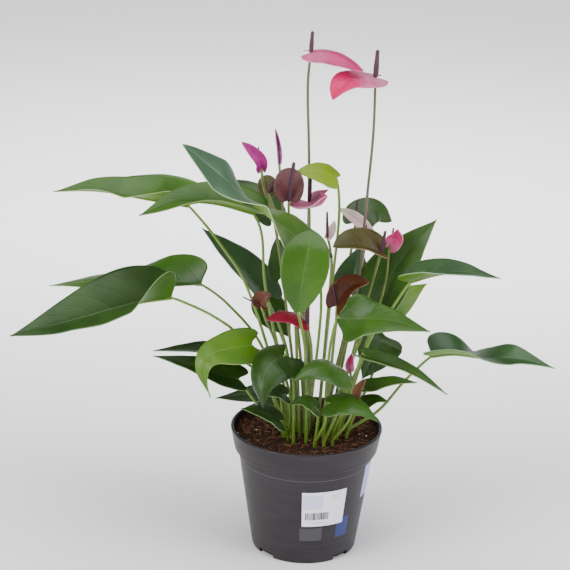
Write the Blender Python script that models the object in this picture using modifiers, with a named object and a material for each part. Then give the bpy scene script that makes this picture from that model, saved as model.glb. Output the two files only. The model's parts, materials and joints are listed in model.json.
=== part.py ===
"""Potted anthurium: a young plant with arrow-shaped leaves and small pink and brown blooms,
growing from potting soil in a plastic nursery pot.

Metres, +Z up. The origin is the centre of the pot's underside. Sizes and places in the
tables are millimetres; +X is to the right and +Y to the back, seen from the front."""

import math

import bmesh
import bpy
from mathutils import Matrix, Vector, noise

MM = 0.001
GAP = 0.3                # left between pieces that touch each other
CLASP_ROOM = 0.45        # round the stem and the spike where the sheath clasps them
MERGE = 0.00005          # metres, corners of a cut piece closer than this are one
WELD = 0.00001           # metres, the same for a round piece before it is cut

# Pot
POT_HEIGHT = 118.0
RIM_RADIUS = 70.0
COLLAR_DEPTH = 21.5      # the wide band below the rim
COLLAR_FOOT_RADIUS = 66.2
BODY_TOP_RADIUS = 61.8
BODY_TOP = 93.3
BASE_RADIUS = 48.5
WALL = 1.6
LIP = 2.7                # the rim's thickness, rolled over
LEDGE = 5.0              # height of the step where the wall widens into the collar
POT_SIDES = 36
NOTCH_ANGLES = (45, 135, 225, 315)
NOTCH_WIDTH = 18.0
NOTCH_HEIGHT = 5.0
DRAIN_RADIUS = 3.5
DRAIN_RING = 28.0
DRAIN_ANGLES = (0, 90, 180, 270)
DRAIN_SIDES = 10

# Label stuck on the pot
LABEL_FROM, LABEL_TO = -92.0, -51.0      # degrees round the pot
LABEL_LOW, LABEL_HIGH = 41.0, 77.0       # heights
LABEL_THICK = 0.4

# Soil
SOIL_TOP = 114.0
SOIL_LUMP = 1.6          # height of its lumps
LUMP_WIDTH = 9.0
EDGE_DROP = 0.8          # how far the soil sinks at the wall
SOIL_RINGS = 4
HOLE_DEPTH = 8.0
HOLE_SIDES = 6
HOLE_ROOM = 0.7          # round a stem in its hole
WALL_ROOM = 0.4          # between the soil, or the label, and the pot's wall

# Plant
CROWN = (8.0, -12.0)    # the middle of the clump of stems
COLLAR_RISE = 5.0        # a stem is straight up to this height above the soil
BLADE_THICK = 0.8
TIP_HALF_WIDTH = 0.45
STALK_THICK, STALK_THIN = 1.7, 1.2       # radii of a leaf stalk at its foot and its blade
SIDE_THICK = 1.4         # radius of a small leaf's stalk where it branches off
KNEE = 4.0               # how far a stalk reaches along its blade
PATH_STEP = 27.0         # length of one straight piece of a stem
CLASP_LENGTH = 14.0      # how far down a stem its sheath is kept clear of it
SPIKE_SHARES = (0.0, 0.3, 0.7, 0.93, 1.0)    # along a spike, and its thickness there
SPIKE_SWELL = (0.85, 1.0, 0.95, 0.7, 0.3)
LEAF_ROUNDNESS, CLASP_ROUNDNESS = 1, 2   # corners a quarter turn has, less one
SHARP_EDGE = 40.0        # degrees, rounder than this is shaded smooth

# Each leaf: where its stalk roots in the crown (ring radius, angle), the points its stalk
# passes, the points of its midrib from base to tip, the ways the upper side faces from base
# to tip, the full width, how far the lobes reach back, the fold of the halves from base to
# tip (degrees, up is positive) and the curl of the left and the right half, each either one
# value or values from base to tip.
LEAVES = {
    "leaf_upper_left_far": dict(
        root=(23, 165), stalk=[(-53, -8, 244), (-79, -6, 289)],
        rib=[(-110, 6, 323), (-144, 2, 329), (-188, -4, 337), (-228, -10, 337)],
        face=[(0, -0.3, 1), (0, -0.3, 1), (0, -0.3, 1)], wide=50, lobe=14,
        fold=(55, 48, 24, 38, 25), curl=((20, 0, 0), -8)),
    "leaf_upper_left_near": dict(
        root=(16, 172), stalk=[(-38, -6, 240), (-44, -6, 300)],
        rib=[(-52, -12, 323), (-85, -20, 333), (-116, -32, 336), (-149, -44, 327)],
        face=[(0, -0.3, 1), (0, -0.3, 1), (0, -0.8, 1)], wide=46, lobe=12,
        fold=(42, 38, 15), curl=(-6, -12)),
    "leaf_top": dict(
        root=(10, 225), stalk=[(10, -14, 230)],
        rib=[(6, -25, 285), (-14, -32, 308), (-42, -42, 333), (-66, -50, 355), (-110, -62, 395)],
        face=[(0.3, -0.7, 0.7), (0.1, -0.6, 1), (0.1, 0.2, 1), (0.3, -0.7, 0.8), (0.4, -0.6, 1)],
        wide=50, lobe=12,
        fold=(10, 5, 8, 12), curl=(-5, -26), swell=0.85, tip=0.8),
    "leaf_front_upright": dict(
        root=(23, 250), stalk=[(-2, -40, 195), (-6, -52, 228)],
        rib=[(-10, -66, 251), (-7, -66, 278), (-3, -60, 305), (0, -46, 319)],
        face=[(0, -1, 0.1), (0, -1, 0.3), (0, -0.7, 1)], wide=42, lobe=0,
        fold=(20, 10, 0), curl=(-5, -10), base=0.08, swell=0.9, tip=0.65),
    "leaf_upper_right": dict(
        root=(10, 10), stalk=[(46, 10, 196)],
        rib=[(58, 14, 231), (72, 12, 261), (90, 10, 289), (111, 8, 316)],
        face=[(-0.4, -1, 0.4), (-0.3, -1, 0.5)], wide=50, lobe=4,
        fold=(15, 8), curl=(5, 5), base=0.3),
    "leaf_right_high": dict(
        root=(23, -5), stalk=[(52, -20, 203), (70, -26, 238)],
        rib=[(88, -28, 269), (110, -34, 278), (134, -42, 283), (164, -50, 281)],
        face=[(-0.1, -0.2, 1), (0, -0.2, 1), (0, 0, 1)], wide=42, lobe=7,
        fold=(25, 15, 5), curl=(-5, (60, 10, -10))),
    "leaf_far_right": dict(
        root=(30, 0), stalk=[(66, -2, 135), (88, -4, 165)],
        rib=[(111, -8, 192), (132, -14, 197), (160, -20, 196), (188, -28, 199), (219, -36, 194)],
        face=[(0, -0.3, 1), (0, 0.3, 1), (0.1, -0.5, 1), (0, -0.1, 1)], wide=52, lobe=3,
        fold=(40, 2, 10, 3), curl=(5, (10, 20, 25))),
    "leaf_right_middle": dict(
        root=(23, -70), stalk=[(18, -42, 200)],
        rib=[(24, -50, 240), (44, -58, 243), (71, -66, 245), (104, -74, 239)],
        face=[(0, -1.3, 1), (0, -0.3, 1), (0, -0.2, 1), (0, -0.2, 1)], wide=48, lobe=-8,
        fold=(8, 2, 0), curl=(5, -12)),
    "leaf_front_centre": dict(
        root=(30, 286), stalk=[(31, -48, 162)],
        rib=[(35, -56, 191), (18, -70, 202), (2, -82, 203), (-13, -90, 196)],
        face=[(0, -0.5, 1), (0, -0.7, 1)], wide=36, lobe=3,
        fold=(-5, 0), curl=(-35, -30)),
    "leaf_lower_right": dict(
        root=(23, 310), stalk=[(38, -38, 165)],
        rib=[(47, -45, 205), (70, -56, 202), (94, -68, 197), (121, -80, 184)],
        face=[(0, -0.3, 1), (0.1, -0.2, 1)], wide=24, lobe=4,
        fold=(12, 8), curl=(-8, (25, 35, 20))),
    "leaf_low_right": dict(
        root=(30, -18), stalk=[(45, -23, 145)],
        rib=[(49, -26, 165), (62, -32, 169), (78, -38, 177), (97, -44, 180)],
        face=[(0, -0.3, 1), (0, -0.2, 1)], wide=24, lobe=5,
        fold=(20, 12), curl=(5, 5)),
    "leaf_low_front": dict(
        root=(30, 270), stalk=[(16, -50, 140)],
        rib=[(18, -58, 163), (32, -66, 168), (48, -74, 166), (63, -80, 156)],
        face=[(0.1, -0.7, 1), (0.3, -0.6, 1)], wide=27, lobe=6,
        fold=(0, 0), curl=(-25, -25)),
    "leaf_left_near": dict(
        root=(23, 182), stalk=[(-57, -10, 198), (-84, -16, 226)],
        rib=[(-123, -22, 246), (-155, -36, 244), (-204, -60, 236), (-256, -84, 228)],
        face=[(0, 0.1, 1), (0, -0.6, 1), (0, -0.6, 1), (0, -0.8, 1)], wide=70, lobe=4,
        fold=(55, 30, 26, 10), curl=((45, 22, 0, -5, -5), -12)),
    "leaf_left_far": dict(
        root=(30, 145), stalk=[(-43, 18, 187), (-75, 26, 224)],
        rib=[(-100, 32, 241), (-132, 40, 240), (-187, 52, 237), (-246, 66, 224)],
        face=[(0, -0.5, 1), (0, -0.2, 1), (0, -0.1, 1)], wide=58, lobe=4,
        fold=(45, 26, -6, 0, 4), curl=(-5, -10)),
    "leaf_front_left": dict(
        root=(30, 230), stalk=[(-13, -42, 180)],
        rib=[(-20, -56, 207), (-32, -70, 204), (-40, -82, 190), (-38, -88, 170)],
        face=[(-0.1, -0.8, 0.6), (-0.3, -1, 0.4), (-0.5, -1, 0)], wide=46, lobe=14,
        fold=(0, 0), curl=(-40, -60)),
    "leaf_left_drooping": dict(
        root=(30, 202), stalk=[(-26, -28, 168), (-40, -32, 192)],
        rib=[(-50, -36, 208), (-69, -46, 208), (-86, -56, 205), (-92, -62, 192), (-85, -64, 168)],
        face=[(0, -0.8, 1), (-0.1, -0.8, 1), (-1, -0.8, 0.5)], wide=40, lobe=10,
        fold=(8, 5, 25), curl=(-12, -15), tip=1.6),
    "leaf_left_dark": dict(
        root=(30, 174), stalk=[(-38, -2, 160)],
        rib=[(-62, -2, 182), (-88, -8, 190), (-113, -14, 193), (-140, -20, 194)],
        face=[(0, -0.1, 1), (0, 0, 1)], wide=34, lobe=8,
        fold=(22, 16), curl=(-5, -10)),
    "leaf_left_low": dict(
        root=(30, 188), stalk=[(-42, -22, 142)],
        rib=[(-62, -24, 170), (-86, -28, 178), (-112, -34, 188), (-138, -38, 196)],
        face=[(-0.2, -0.6, 1), (-0.2, -0.2, 1)], wide=34, lobe=8,
        fold=(12, 15), curl=(5, -10)),
    "leaf_small_left": dict(
        root=(30, 128), stalk=[(-17, 24, 125)],
        rib=[(-25, 30, 131), (-42, 30, 136), (-64, 28, 133), (-86, 26, 131)],
        face=[(0, -0.5, 1), (0, -0.3, 1)], wide=26, lobe=6,
        fold=(8, 4), curl=(-10, -10)),
    "leaf_on_rim_left": dict(
        root=(30, 216), stalk=[],
        rib=[(-22, -43, 138), (-32, -48, 147), (-44, -54, 153), (-58, -60, 157)],
        face=[(0, -0.4, 1), (0, -0.3, 1)], wide=28, lobe=3,
        fold=(8, 4), curl=(-15, -15)),
    "leaf_inner_left": dict(
        root=(23, 128), stalk=[(-22, 42, 178)],
        rib=[(-41, 42, 222), (-35, 38, 214), (-25, 35, 202), (-17, 34, 190)],
        face=[(0, -0.6, 1), (-0.2, -1, 0.2)], wide=32, lobe=8,
        fold=(8, 0), curl=(-12, -12)),
    "leaf_left_inner": dict(
        root=(23, 148), stalk=[(-20, 14, 186)],
        rib=[(-40, 27, 232), (-57, 26, 254), (-77, 24, 275), (-99, 21, 298)],
        face=[(0.4, -0.3, 1), (0.4, -0.5, 1)], wide=50, lobe=12,
        fold=(22, 12), curl=(-8, -8)),
    "leaf_behind_front": dict(
        root=(16, 125), stalk=[(-12, 12, 220)],
        rib=[(-24, 16, 257), (-27, 20, 272), (-30, 25, 281), (-32, 32, 289)],
        face=[(-0.2, -1, 0.3), (-0.2, -1, 0.5)], wide=28, lobe=5,
        fold=(8, 5), curl=(0, 0)),
    "leaf_back_upright": dict(
        root=(16, 70), stalk=[(33, 19, 203)],
        rib=[(36, 28, 237), (39, 32, 254), (42, 38, 267), (45, 46, 278)],
        face=[(0, -1, 0.6), (0, -1, 0.8)], wide=36, lobe=6,
        fold=(20, 11), curl=(-5, -5)),
    "leaf_back_right_high": dict(
        root=(23, 45), stalk=[(56, 40, 183)],
        rib=[(72, 52, 208), (85, 62, 219), (98, 74, 226), (111, 86, 230)],
        face=[(0.3, -0.8, 1), (0, -0.5, 1)], wide=28, lobe=6,
        fold=(15, 8), curl=(-5, -5)),
    "leaf_back_right_low": dict(
        root=(30, 40), stalk=[(52, 20, 140), (66, 30, 178)],
        rib=[(72, 34, 194), (66, 26, 191), (58, 14, 177), (50, 6, 162)],
        face=[(0.2, -0.4, 1), (0.3, -1, 0.3)], wide=44, lobe=3,
        fold=(5, 5), curl=(-10, -10)),
    "leaf_back_left": dict(
        root=(23, 97), stalk=[(-10, 48, 225), (-24, 52, 270)],
        rib=[(-37, 52, 304), (-50, 58, 318), (-63, 66, 326), (-78, 76, 330)],
        face=[(0.3, -0.8, 1), (0, -0.6, 1)], wide=34, lobe=8,
        fold=(8, 0), curl=(-8, -15)),
    "leaf_lime_young": dict(
        root=(4, 60), stalk=[(19, 2, 246), (24, 10, 316)],
        rib=[(21, 12, 350), (10, 9, 356), (-3, 6, 358), (-15, 4, 357)],
        face=[(0.5, -0.7, 1), (0, -0.7, 1), (0, -0.7, 1)], wide=26, lobe=4,
        fold=(-6, 0), curl=(-12, -12), tip=0.9),
}

# Small leaves that branch off a larger leaf's stalk just above the soil and are one piece with it.
SIDE_LEAVES = {
    "leaf_on_rim_left": dict(
        stalk=[(-15, -34, 142)],
        rib=[(-19, -36, 161), (-26, -40, 166), (-34, -44, 167), (-44, -48, 163)],
        face=[(0, -0.6, 1), (0, -0.3, 1)], wide=20, lobe=4, fold=(10, 5), curl=(-10, -10)),
    "leaf_low_front": dict(
        stalk=[(10, -46, 142)],
        rib=[(9, -54, 156), (2, -58, 163), (-6, -61, 166), (-15, -65, 164)],
        face=[(0, -0.6, 1), (0, -0.5, 1)], wide=18, lobe=4, fold=(10, 5), curl=(-10, -10)),
    "leaf_low_right": dict(
        stalk=[(42, -26, 138)],
        rib=[(47, -31, 150), (54, -34, 156), (63, -36, 160), (73, -38, 158)],
        face=[(0, -0.6, 1), (0, -0.3, 1)], wide=18, lobe=4, fold=(10, 5), curl=(-10, -10)),
}

# Each bloom: its stem as above, then the midrib of its spathe (the coloured sheath) as steps
# from the top of the stem, and the reach and the radius of its spadix (the spike). A bloom
# with parts True is three pieces, its stem, spathe and spadix; the smaller ones are grown
# together in one.
BLOOMS = {
    "bloom_tall_left": dict(
        root=(4, 180), stalk=[(-2, 12, 240), (-4, 27, 356), (-7, 26, 427)], top=(-5, 24, 461),
        rib=[(0, 0, 0), (15, -3, 0), (31, -6, -5), (46, -8, -14)], spike=((1, 0, 18), 2.1),
        face=[(0, -0.4, 1), (0.1, -0.35, 1)], wide=25, lobe=8,
        fold=(-14, -6), curl=(-16, -16), colour="spathe_pink", parts=True),
    "bloom_tall_right": dict(
        root=(10, 45), stalk=[(42, 14, 240), (47, 18, 305), (49, 20, 338), (52, 20, 390)],
        top=(52, 20, 441),
        rib=[(0, 0, 0), (-14, -5, -1), (-27, -10, -5), (-37, -15, -18)],
        spike=((1, 0, 24), 2.5), face=[(0, -0.2, 1), (0, -0.3, 1), (-0.8, -0.9, 0.7)],
        wide=34, lobe=9, fold=(-10, 12, 38), curl=(-14, -10), colour="spathe_coral",
        parts=True),
    "bloom_middle": dict(
        root=(10, 180), stalk=[(-3, 2, 250), (-2, 8, 298)], top=(-3, 8, 330),
        rib=[(0, 0, 0), (4, -8, -1), (10, -14, 1), (16, -17, 10)], spike=((1, 0, 26), 1.9),
        face=[(0, -0.5, 1), (-0.4, 0, 1)], wide=42, lobe=12,
        fold=(8, 26), curl=(5, 10), colour="spathe_rose", parts=True),
    "bloom_olive": dict(
        root=(16, -8), stalk=[(48, -10, 230)], top=(62, -10, 290),
        rib=[(0, 0, 0), (-14, -5, 6), (-28, -12, 10), (-43, -20, 10)], spike=((3, 0, 20), 1.9),
        face=[(0, -0.5, 1), (0, -0.4, 1)], wide=38, lobe=4,
        fold=(30, 30, 25), curl=(-8, -8), colour="spathe_olive", parts=True),
    "bloom_rust": dict(
        root=(16, -60), stalk=[(23, -28, 218)], top=(24, -22, 243),
        rib=[(0, 0, 0), (6, -2, 14), (15, -5, 22), (28, -9, 26)], spike=((-5, -3, 21), 1.5),
        face=[(-0.4, -0.9, 0.5), (0, -0.6, 1)], wide=26, lobe=5,
        fold=(30, 25), curl=(-5, -10), colour="spathe_rust", parts=True),
    "bloom_magenta": dict(
        root=(16, 150), stalk=[(-30, 8, 290), (-43, 6, 340)], top=(-46, 4, 360),
        rib=[(0, 0, 0), (-1, -3, 8), (-8, -6, 17), (-17, -10, 26)], spike=((-3, 3, 19), 0.9),
        face=[(0.2, -1, 0.4), (0.2, -1, 0.4)], wide=12, lobe=4,
        fold=(15, 15), curl=(10, 10), colour="spathe_magenta", parts=True),
    "bloom_bud_upright": dict(
        root=(10, 135), stalk=[(-17, 8, 262), (-24, 14, 300), (-29, 26, 342)], top=(-31, 32, 358),
        rib=[(0, 0, 0), (-1, 0, 14), (-4, 2, 31)], spike=((0, 3, 10), 0.8),
        face=[(0.3, -1, 0), (0.3, -1, 0)], wide=8, lobe=1,
        fold=(45, 40), curl=(30, 30), colour="spathe_magenta", parts=False),
    "bloom_maroon": dict(
        root=(16, 210), stalk=[(-15, -10, 260), (-20, -10, 312)], top=(-21, -10, 335),
        rib=[(0, 0.5, 0), (0, 4, 9), (0, 9, 18), (0, 15, 26)], spike=((4, -3, 36), 2.3),
        face=[(0, -1, 0.2), (0, -1, 0.2)], wide=27, lobe=2,
        fold=(8, 5), curl=(5, 5), tip=0.5, colour="spathe_maroon", parts=False),
    "bloom_thin_purple": dict(
        root=(4, 300), stalk=[(18, -2, 260), (17, -2, 287)], top=(14, -2, 300),
        rib=[(0, 0, 0), (3, 2, 5), (6, 6, 14)], spike=((-1, 0, 24), 1.4),
        face=[(0, -1, 0.4), (0, -1, 0.4)], wide=8, lobe=2,
        fold=(20, 10), curl=(10, 10), colour="spathe_pale", parts=False),
    "bloom_pale": dict(
        root=(16, 30), stalk=[(46, 28, 262)], top=(49, 34, 298),
        rib=[(0, 0, 0), (-7, -3, 8), (-14, -5, 14), (-25, -6, 21)], spike=((1, 2, 18), 1.3),
        face=[(0.3, -1, 0.6), (0.3, -1, 0.8)], wide=14, lobe=10,
        fold=(25, 20), curl=(5, 5), colour="spathe_pale", parts=False),
    "bloom_olive_back": dict(
        root=(23, 66), stalk=[(26, 44, 210), (37, 56, 270)], top=(40, 56, 297),
        rib=[(0, 0, 0), (8, 8, 8), (20, 14, 9), (34, 18, -2)], spike=((1, -2, 22), 1.5),
        face=[(0, -0.8, 1), (0, -0.5, 1)], wide=34, lobe=6,
        fold=(10, 5), curl=(-10, -10), colour="spathe_green", parts=False),
    "bloom_magenta_right": dict(
        root=(23, 25), stalk=[(64, 4, 240)], top=(70, 4, 292),
        rib=[(0, 0, 0), (3, -2, 5), (6, -4, 11), (6, -7, 18)], spike=((3, 3, 16), 1.2),
        face=[(0, -1, 0.2), (-0.4, -1, 0)], wide=16, lobe=4,
        fold=(10, 15), curl=(15, 15), colour="spathe_rose", parts=False),
    "bloom_crimson": dict(
        root=(16, 240), stalk=[(3, -30, 195)], top=(-2, -34, 230),
        rib=[(0, 0, 0), (-10, -2, 6), (-21, -6, 9), (-35, -10, 6)], spike=((1, 0, 19), 2.0),
        face=[(0, -0.3, 1), (0, -0.3, 1)], wide=22, lobe=3,
        fold=(-5, 5), curl=(-15, -20), colour="spathe_crimson", parts=False),
    "bloom_small_brown": dict(
        root=(23, 200), stalk=[(-28, -20, 198), (-38, -24, 226)], top=(-43, -24, 241),
        rib=[(0, 0, 0), (-1, -4, 7), (3, -7, 12), (9, -8, 15)], spike=((-17, -8, 11), 0.9),
        face=[(-0.5, -1, 0.3), (-0.3, -1, 0.3)], wide=16, lobe=3,
        fold=(10, 5), curl=(-10, -10), colour="spathe_rust", parts=False),
    "bloom_round_brown": dict(
        root=(16, 100), stalk=[(-6, 30, 220), (-22, 40, 280), (-36, 38, 316)], top=(-40, 36, 329),
        rib=[(0, 0, 0), (-1, 2, 5), (-2, 4, 10), (-3, 7, 15)], spike=((5, -5, 14), 1.4),
        face=[(-0.1, -1, 0.2), (-0.1, -1, 0.2)], wide=18, lobe=3,
        fold=(5, 5), curl=(-5, -5), tip=0.5, colour="spathe_olive", parts=False),
    "bloom_bud_low": dict(
        root=(23, -30), stalk=[(38, -26, 164)], top=(38, -29, 185),
        rib=[(0, 0, 0), (-1, -1, 7), (1, -2, 17)], spike=((1, 3, 8), 1.2),
        face=[(0, -1, 0.1), (0, -1, 0.1)], wide=11, lobe=1,
        fold=(35, 30), curl=(25, 25), colour="spathe_rose", parts=False),
    "bloom_withered": dict(
        root=(30, 302), stalk=[(37, -43, 140)], top=(43, -50, 166),
        rib=[(0, 0, 0), (1, -1, 8), (4, -3, 15), (8, -5, 21)], spike=((-2, -2, 9), 0.8),
        face=[(0, -1, 0.3), (-0.4, -1, 0.2)], wide=9, lobe=2,
        fold=(25, 15), curl=(20, 10), colour="spathe_dry", parts=False),
}

# Colour, roughness
FINISHES = {
    "pot_plastic": ((0.045, 0.041, 0.053), 0.38),
    "label_paper": ((0.86, 0.85, 0.90), 0.45),
    "soil": ((0.055, 0.026, 0.014), 0.95),
    "leaf_green": ((0.060, 0.190, 0.022), 0.35),
    "leaf_lime": ((0.330, 0.520, 0.030), 0.40),
    "stem_green": ((0.250, 0.330, 0.100), 0.45),
    "spadix": ((0.085, 0.030, 0.055), 0.60),
    "spathe_pink": ((0.620, 0.110, 0.300), 0.35),
    "spathe_coral": ((0.750, 0.140, 0.230), 0.35),
    "spathe_rose": ((0.560, 0.130, 0.240), 0.35),
    "spathe_magenta": ((0.480, 0.060, 0.330), 0.35),
    "spathe_crimson": ((0.430, 0.030, 0.080), 0.35),
    "spathe_maroon": ((0.160, 0.060, 0.065), 0.40),
    "spathe_olive": ((0.150, 0.130, 0.030), 0.40),
    "spathe_green": ((0.110, 0.220, 0.060), 0.40),
    "spathe_rust": ((0.200, 0.055, 0.028), 0.40),
    "spathe_pale": ((0.700, 0.560, 0.560), 0.40),
    "spathe_dry": ((0.430, 0.200, 0.090), 0.70),
}


def mm(point):
    return Vector(point) * MM


def finish(name):
    """The material of that name, made the first time it is asked for."""
    if name in bpy.data.materials:
        return bpy.data.materials[name]
    colour, roughness = FINISHES[name]
    material = bpy.data.materials.new(name)
    material.use_nodes = True
    shader = material.node_tree.nodes["Principled BSDF"]
    shader.inputs["Base Color"].default_value = (*colour, 1.0)
    shader.inputs["Roughness"].default_value = roughness
    return material


def add_piece(name, mesh, collection):
    piece = bpy.data.objects.new(name, mesh)
    collection.objects.link(piece)
    return piece


def paint(piece, finish_name):
    """Give a finished piece its one material, and shade its round stretches smooth."""
    piece.data.materials.clear()
    piece.data.materials.append(finish(finish_name))
    piece.data.shade_smooth()
    piece.data.set_sharp_from_angle(angle=math.radians(SHARP_EDGE))


def bake_modifiers(piece):
    """Give a piece the mesh that its modifiers make, and take them off."""
    graph = bpy.context.evaluated_depsgraph_get()
    mesh = bpy.data.meshes.new_from_object(piece.evaluated_get(graph))
    piece.modifiers.clear()
    piece.data = mesh


def boolean_all(piece, others, operation):
    """Join the other objects to the piece, or cut them out of it, and remove them."""
    group = bpy.data.collections.new("operands")
    bpy.context.scene.collection.children.link(group)
    for other in others:
        group.objects.link(other)
    modifier = piece.modifiers.new("boolean", "BOOLEAN")
    modifier.operation = operation
    modifier.operand_type = "COLLECTION"
    modifier.collection = group
    modifier.solver = "MANIFOLD"
    bake_modifiers(piece)
    for other in others:
        bpy.data.objects.remove(other)
    bpy.data.collections.remove(group)
    clean(piece.data)


def clean(mesh):
    """Merge corners closer together than a hair, and drop the crumbs that a cut leaves."""
    shape = bmesh.new()
    shape.from_mesh(mesh)
    bmesh.ops.triangulate(shape, faces=shape.faces)
    bmesh.ops.remove_doubles(shape, verts=shape.verts, dist=MERGE)
    bmesh.ops.dissolve_degenerate(shape, edges=shape.edges, dist=MERGE)
    for crumb in sorted(joined_faces(shape), key=len)[:-1]:
        bmesh.ops.delete(shape, geom=crumb, context="FACES")
    shape.to_mesh(mesh)
    shape.free()


def joined_faces(shape):
    """The faces of a mesh in groups, each holding together over its edges."""
    left = set(shape.faces)
    groups = []
    while left:
        group = []
        waiting = [left.pop()]
        while waiting:
            face = waiting.pop()
            group.append(face)
            for edge in face.edges:
                if len(edge.link_faces) == 2:
                    fresh = [other for other in edge.link_faces if other in left]
                    left.difference_update(fresh)
                    waiting.extend(fresh)
        groups.append(group)
    return groups


class Path:
    """A smooth line through points, read by the share of its length."""

    def __init__(self, points, steps=8):
        points = [Vector(point) for point in points]
        before = points[0] * 2 - points[1]
        after = points[-1] * 2 - points[-2]
        held = [before, *points, after]
        self.places = []
        for first, start, end, last in zip(held, held[1:], held[2:], held[3:]):
            for step in range(steps):
                self.places.append(catmull_rom(first, start, end, last, step / steps))
        self.places.append(points[-1])
        self.lengths = [0.0]
        for one, two in zip(self.places, self.places[1:]):
            self.lengths.append(self.lengths[-1] + (two - one).length)

    def at(self, share):
        wanted = share * self.lengths[-1]
        index = max(i for i, length in enumerate(self.lengths[:-1]) if length <= wanted + 1e-9)
        span = self.lengths[index + 1] - self.lengths[index]
        return self.places[index].lerp(self.places[index + 1], (wanted - self.lengths[index]) / span)

    def along(self, share):
        """The way the line runs there."""
        return (self.at(min(share + 0.04, 1.0)) - self.at(max(share - 0.04, 0.0))).normalized()


def catmull_rom(first, start, end, last, t):
    return 0.5 * (2 * start + (end - first) * t + (2 * first - 5 * start + 4 * end - last) * t ** 2
                  + (3 * start - first - 3 * end + last) * t ** 3)


def tube(name, points, radii, collection, roundness=LEAF_ROUNDNESS):
    """A round rod through the points, in millimetres, with a radius at each."""
    curve = bpy.data.curves.new(name, "CURVE")
    curve.dimensions = "3D"
    curve.bevel_depth = MM
    curve.bevel_resolution = roundness
    curve.use_fill_caps = True
    spline = curve.splines.new("POLY")
    spline.points.add(len(points) - 1)
    for knot, point, radius in zip(spline.points, points, radii):
        knot.co = (*mm(point), 1.0)
        knot.radius = radius
    drawn = bpy.data.objects.new(name, curve)
    collection.objects.link(drawn)
    graph = bpy.context.evaluated_depsgraph_get()
    mesh = bpy.data.meshes.new_from_object(drawn.evaluated_get(graph))
    bpy.data.objects.remove(drawn)
    bpy.data.curves.remove(curve)
    shape = bmesh.new()
    shape.from_mesh(mesh)
    bmesh.ops.remove_doubles(shape, verts=shape.verts, dist=WELD)
    bmesh.ops.recalc_face_normals(shape, faces=shape.faces)
    shape.to_mesh(mesh)
    shape.free()
    return add_piece(name, mesh, collection)


def root_place(root):
    ring, angle = root
    return (CROWN[0] + ring * math.cos(math.radians(angle)),
            CROWN[1] + ring * math.sin(math.radians(angle)))


def stem(name, root, middle, top, collection, foot_height=SOIL_TOP - HOLE_DEPTH + GAP,
         thick=STALK_THICK):
    """A stem from its foot, straight up out of the soil and on through the points."""
    x, y = root_place(root)
    foot = Vector((x, y, foot_height))
    collar = Vector((x, y, SOIL_TOP + COLLAR_RISE))
    path = Path([collar, *middle, *top])
    count = max(4, round(path.lengths[-1] / PATH_STEP))
    points = [foot] + [path.at(i / count) for i in range(count + 1)]
    radii = [thick] + [thick + (STALK_THIN - thick) * (i / count) ** 0.5 for i in range(count + 1)]
    return tube(name, points, radii, collection)


def half_width(spec, share):
    """The outline of a blade: round lobes at the base and a drawn-out tip."""
    base, swell, tip = spec.get("base", 0.45), spec.get("swell", 0.55), spec.get("tip", 1.15)
    return (base + 1.35 * share ** swell) * (1 - share) ** tip


def between(values, share):
    """A value at a share of the way along a list of them."""
    place = share * (len(values) - 1)
    index = min(int(place), len(values) - 2)
    part = place - index
    if isinstance(values[0], tuple):
        return Vector(values[index]).lerp(Vector(values[index + 1]), part)
    return values[index] * (1 - part) + values[index + 1] * part


def blade_point(spec, path, share, side, widest):
    """The place of a blade's point, at a share of its midrib and side -1 to 1 across it."""
    run = path.along(share)
    facing = between(spec["face"], share)
    up = (facing - run * facing.dot(run)).normalized()
    right = run.cross(up)
    across = abs(side)
    turn = 1 if side > 0 else -1
    width = max(spec["wide"] / 2 * half_width(spec, share) / widest, TIP_HALF_WIDTH)
    start = math.radians(between(spec["fold"], share))
    curl = spec["curl"][1 if turn > 0 else 0]
    if isinstance(curl, tuple):
        curl = between(curl, share)
    bend = math.radians(curl) * across
    middle = start + bend / 2
    chord = width * across * (math.sin(bend / 2) / (bend / 2) if abs(bend) > 1e-6 else 1.0)
    reach = spec["lobe"] * (1 - share) ** 3.5 * math.sin(math.pi / 2 * across) ** 2
    place = path.at(share) - run * reach
    return place + right * turn * chord * math.cos(middle) + up * chord * math.sin(middle)


def blade(name, spec, rib, rows, columns, collection):
    """A leaf's or a spathe's blade: a flat grid laid along its midrib and given its thickness."""
    path = Path(rib)
    widest = max(half_width(spec, i / 50) for i in range(50))
    shape = bmesh.new()
    bmesh.ops.create_grid(shape, x_segments=rows, y_segments=columns, size=1.0)
    for vert in shape.verts:
        share = ((vert.co.x + 1) / 2) ** 1.2
        side = vert.co.y
        vert.co = mm(blade_point(spec, path, share, side, widest))
    bmesh.ops.triangulate(shape, faces=shape.faces)
    mesh = bpy.data.meshes.new(name)
    shape.to_mesh(mesh)
    shape.free()
    piece = add_piece(name, mesh, collection)
    solidify = piece.modifiers.new("thickness", "SOLIDIFY")
    solidify.thickness = BLADE_THICK * MM
    solidify.offset = 0.0
    bake_modifiers(piece)
    recalculate(piece.data)
    return piece


def recalculate(mesh):
    shape = bmesh.new()
    shape.from_mesh(mesh)
    bmesh.ops.recalc_face_normals(shape, faces=shape.faces)
    shape.to_mesh(mesh)
    shape.free()


def stalk_and_blade(name, root, spec, collection, **foot):
    """The two pieces of a leaf: its stalk reaches a little way into its blade."""
    rib = [Vector(point) for point in spec["rib"]]
    knee = rib[0] + (rib[1] - rib[0]).normalized() * KNEE
    stalk = stem(name, root, spec["stalk"], [rib[0], knee], collection, **foot)
    length = Path(rib).lengths[-1]
    rows = 9 if length > 100 else 7 if length > 60 else 5
    return stalk, blade(name + "_blade", spec, rib, rows, 4, collection)


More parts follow.
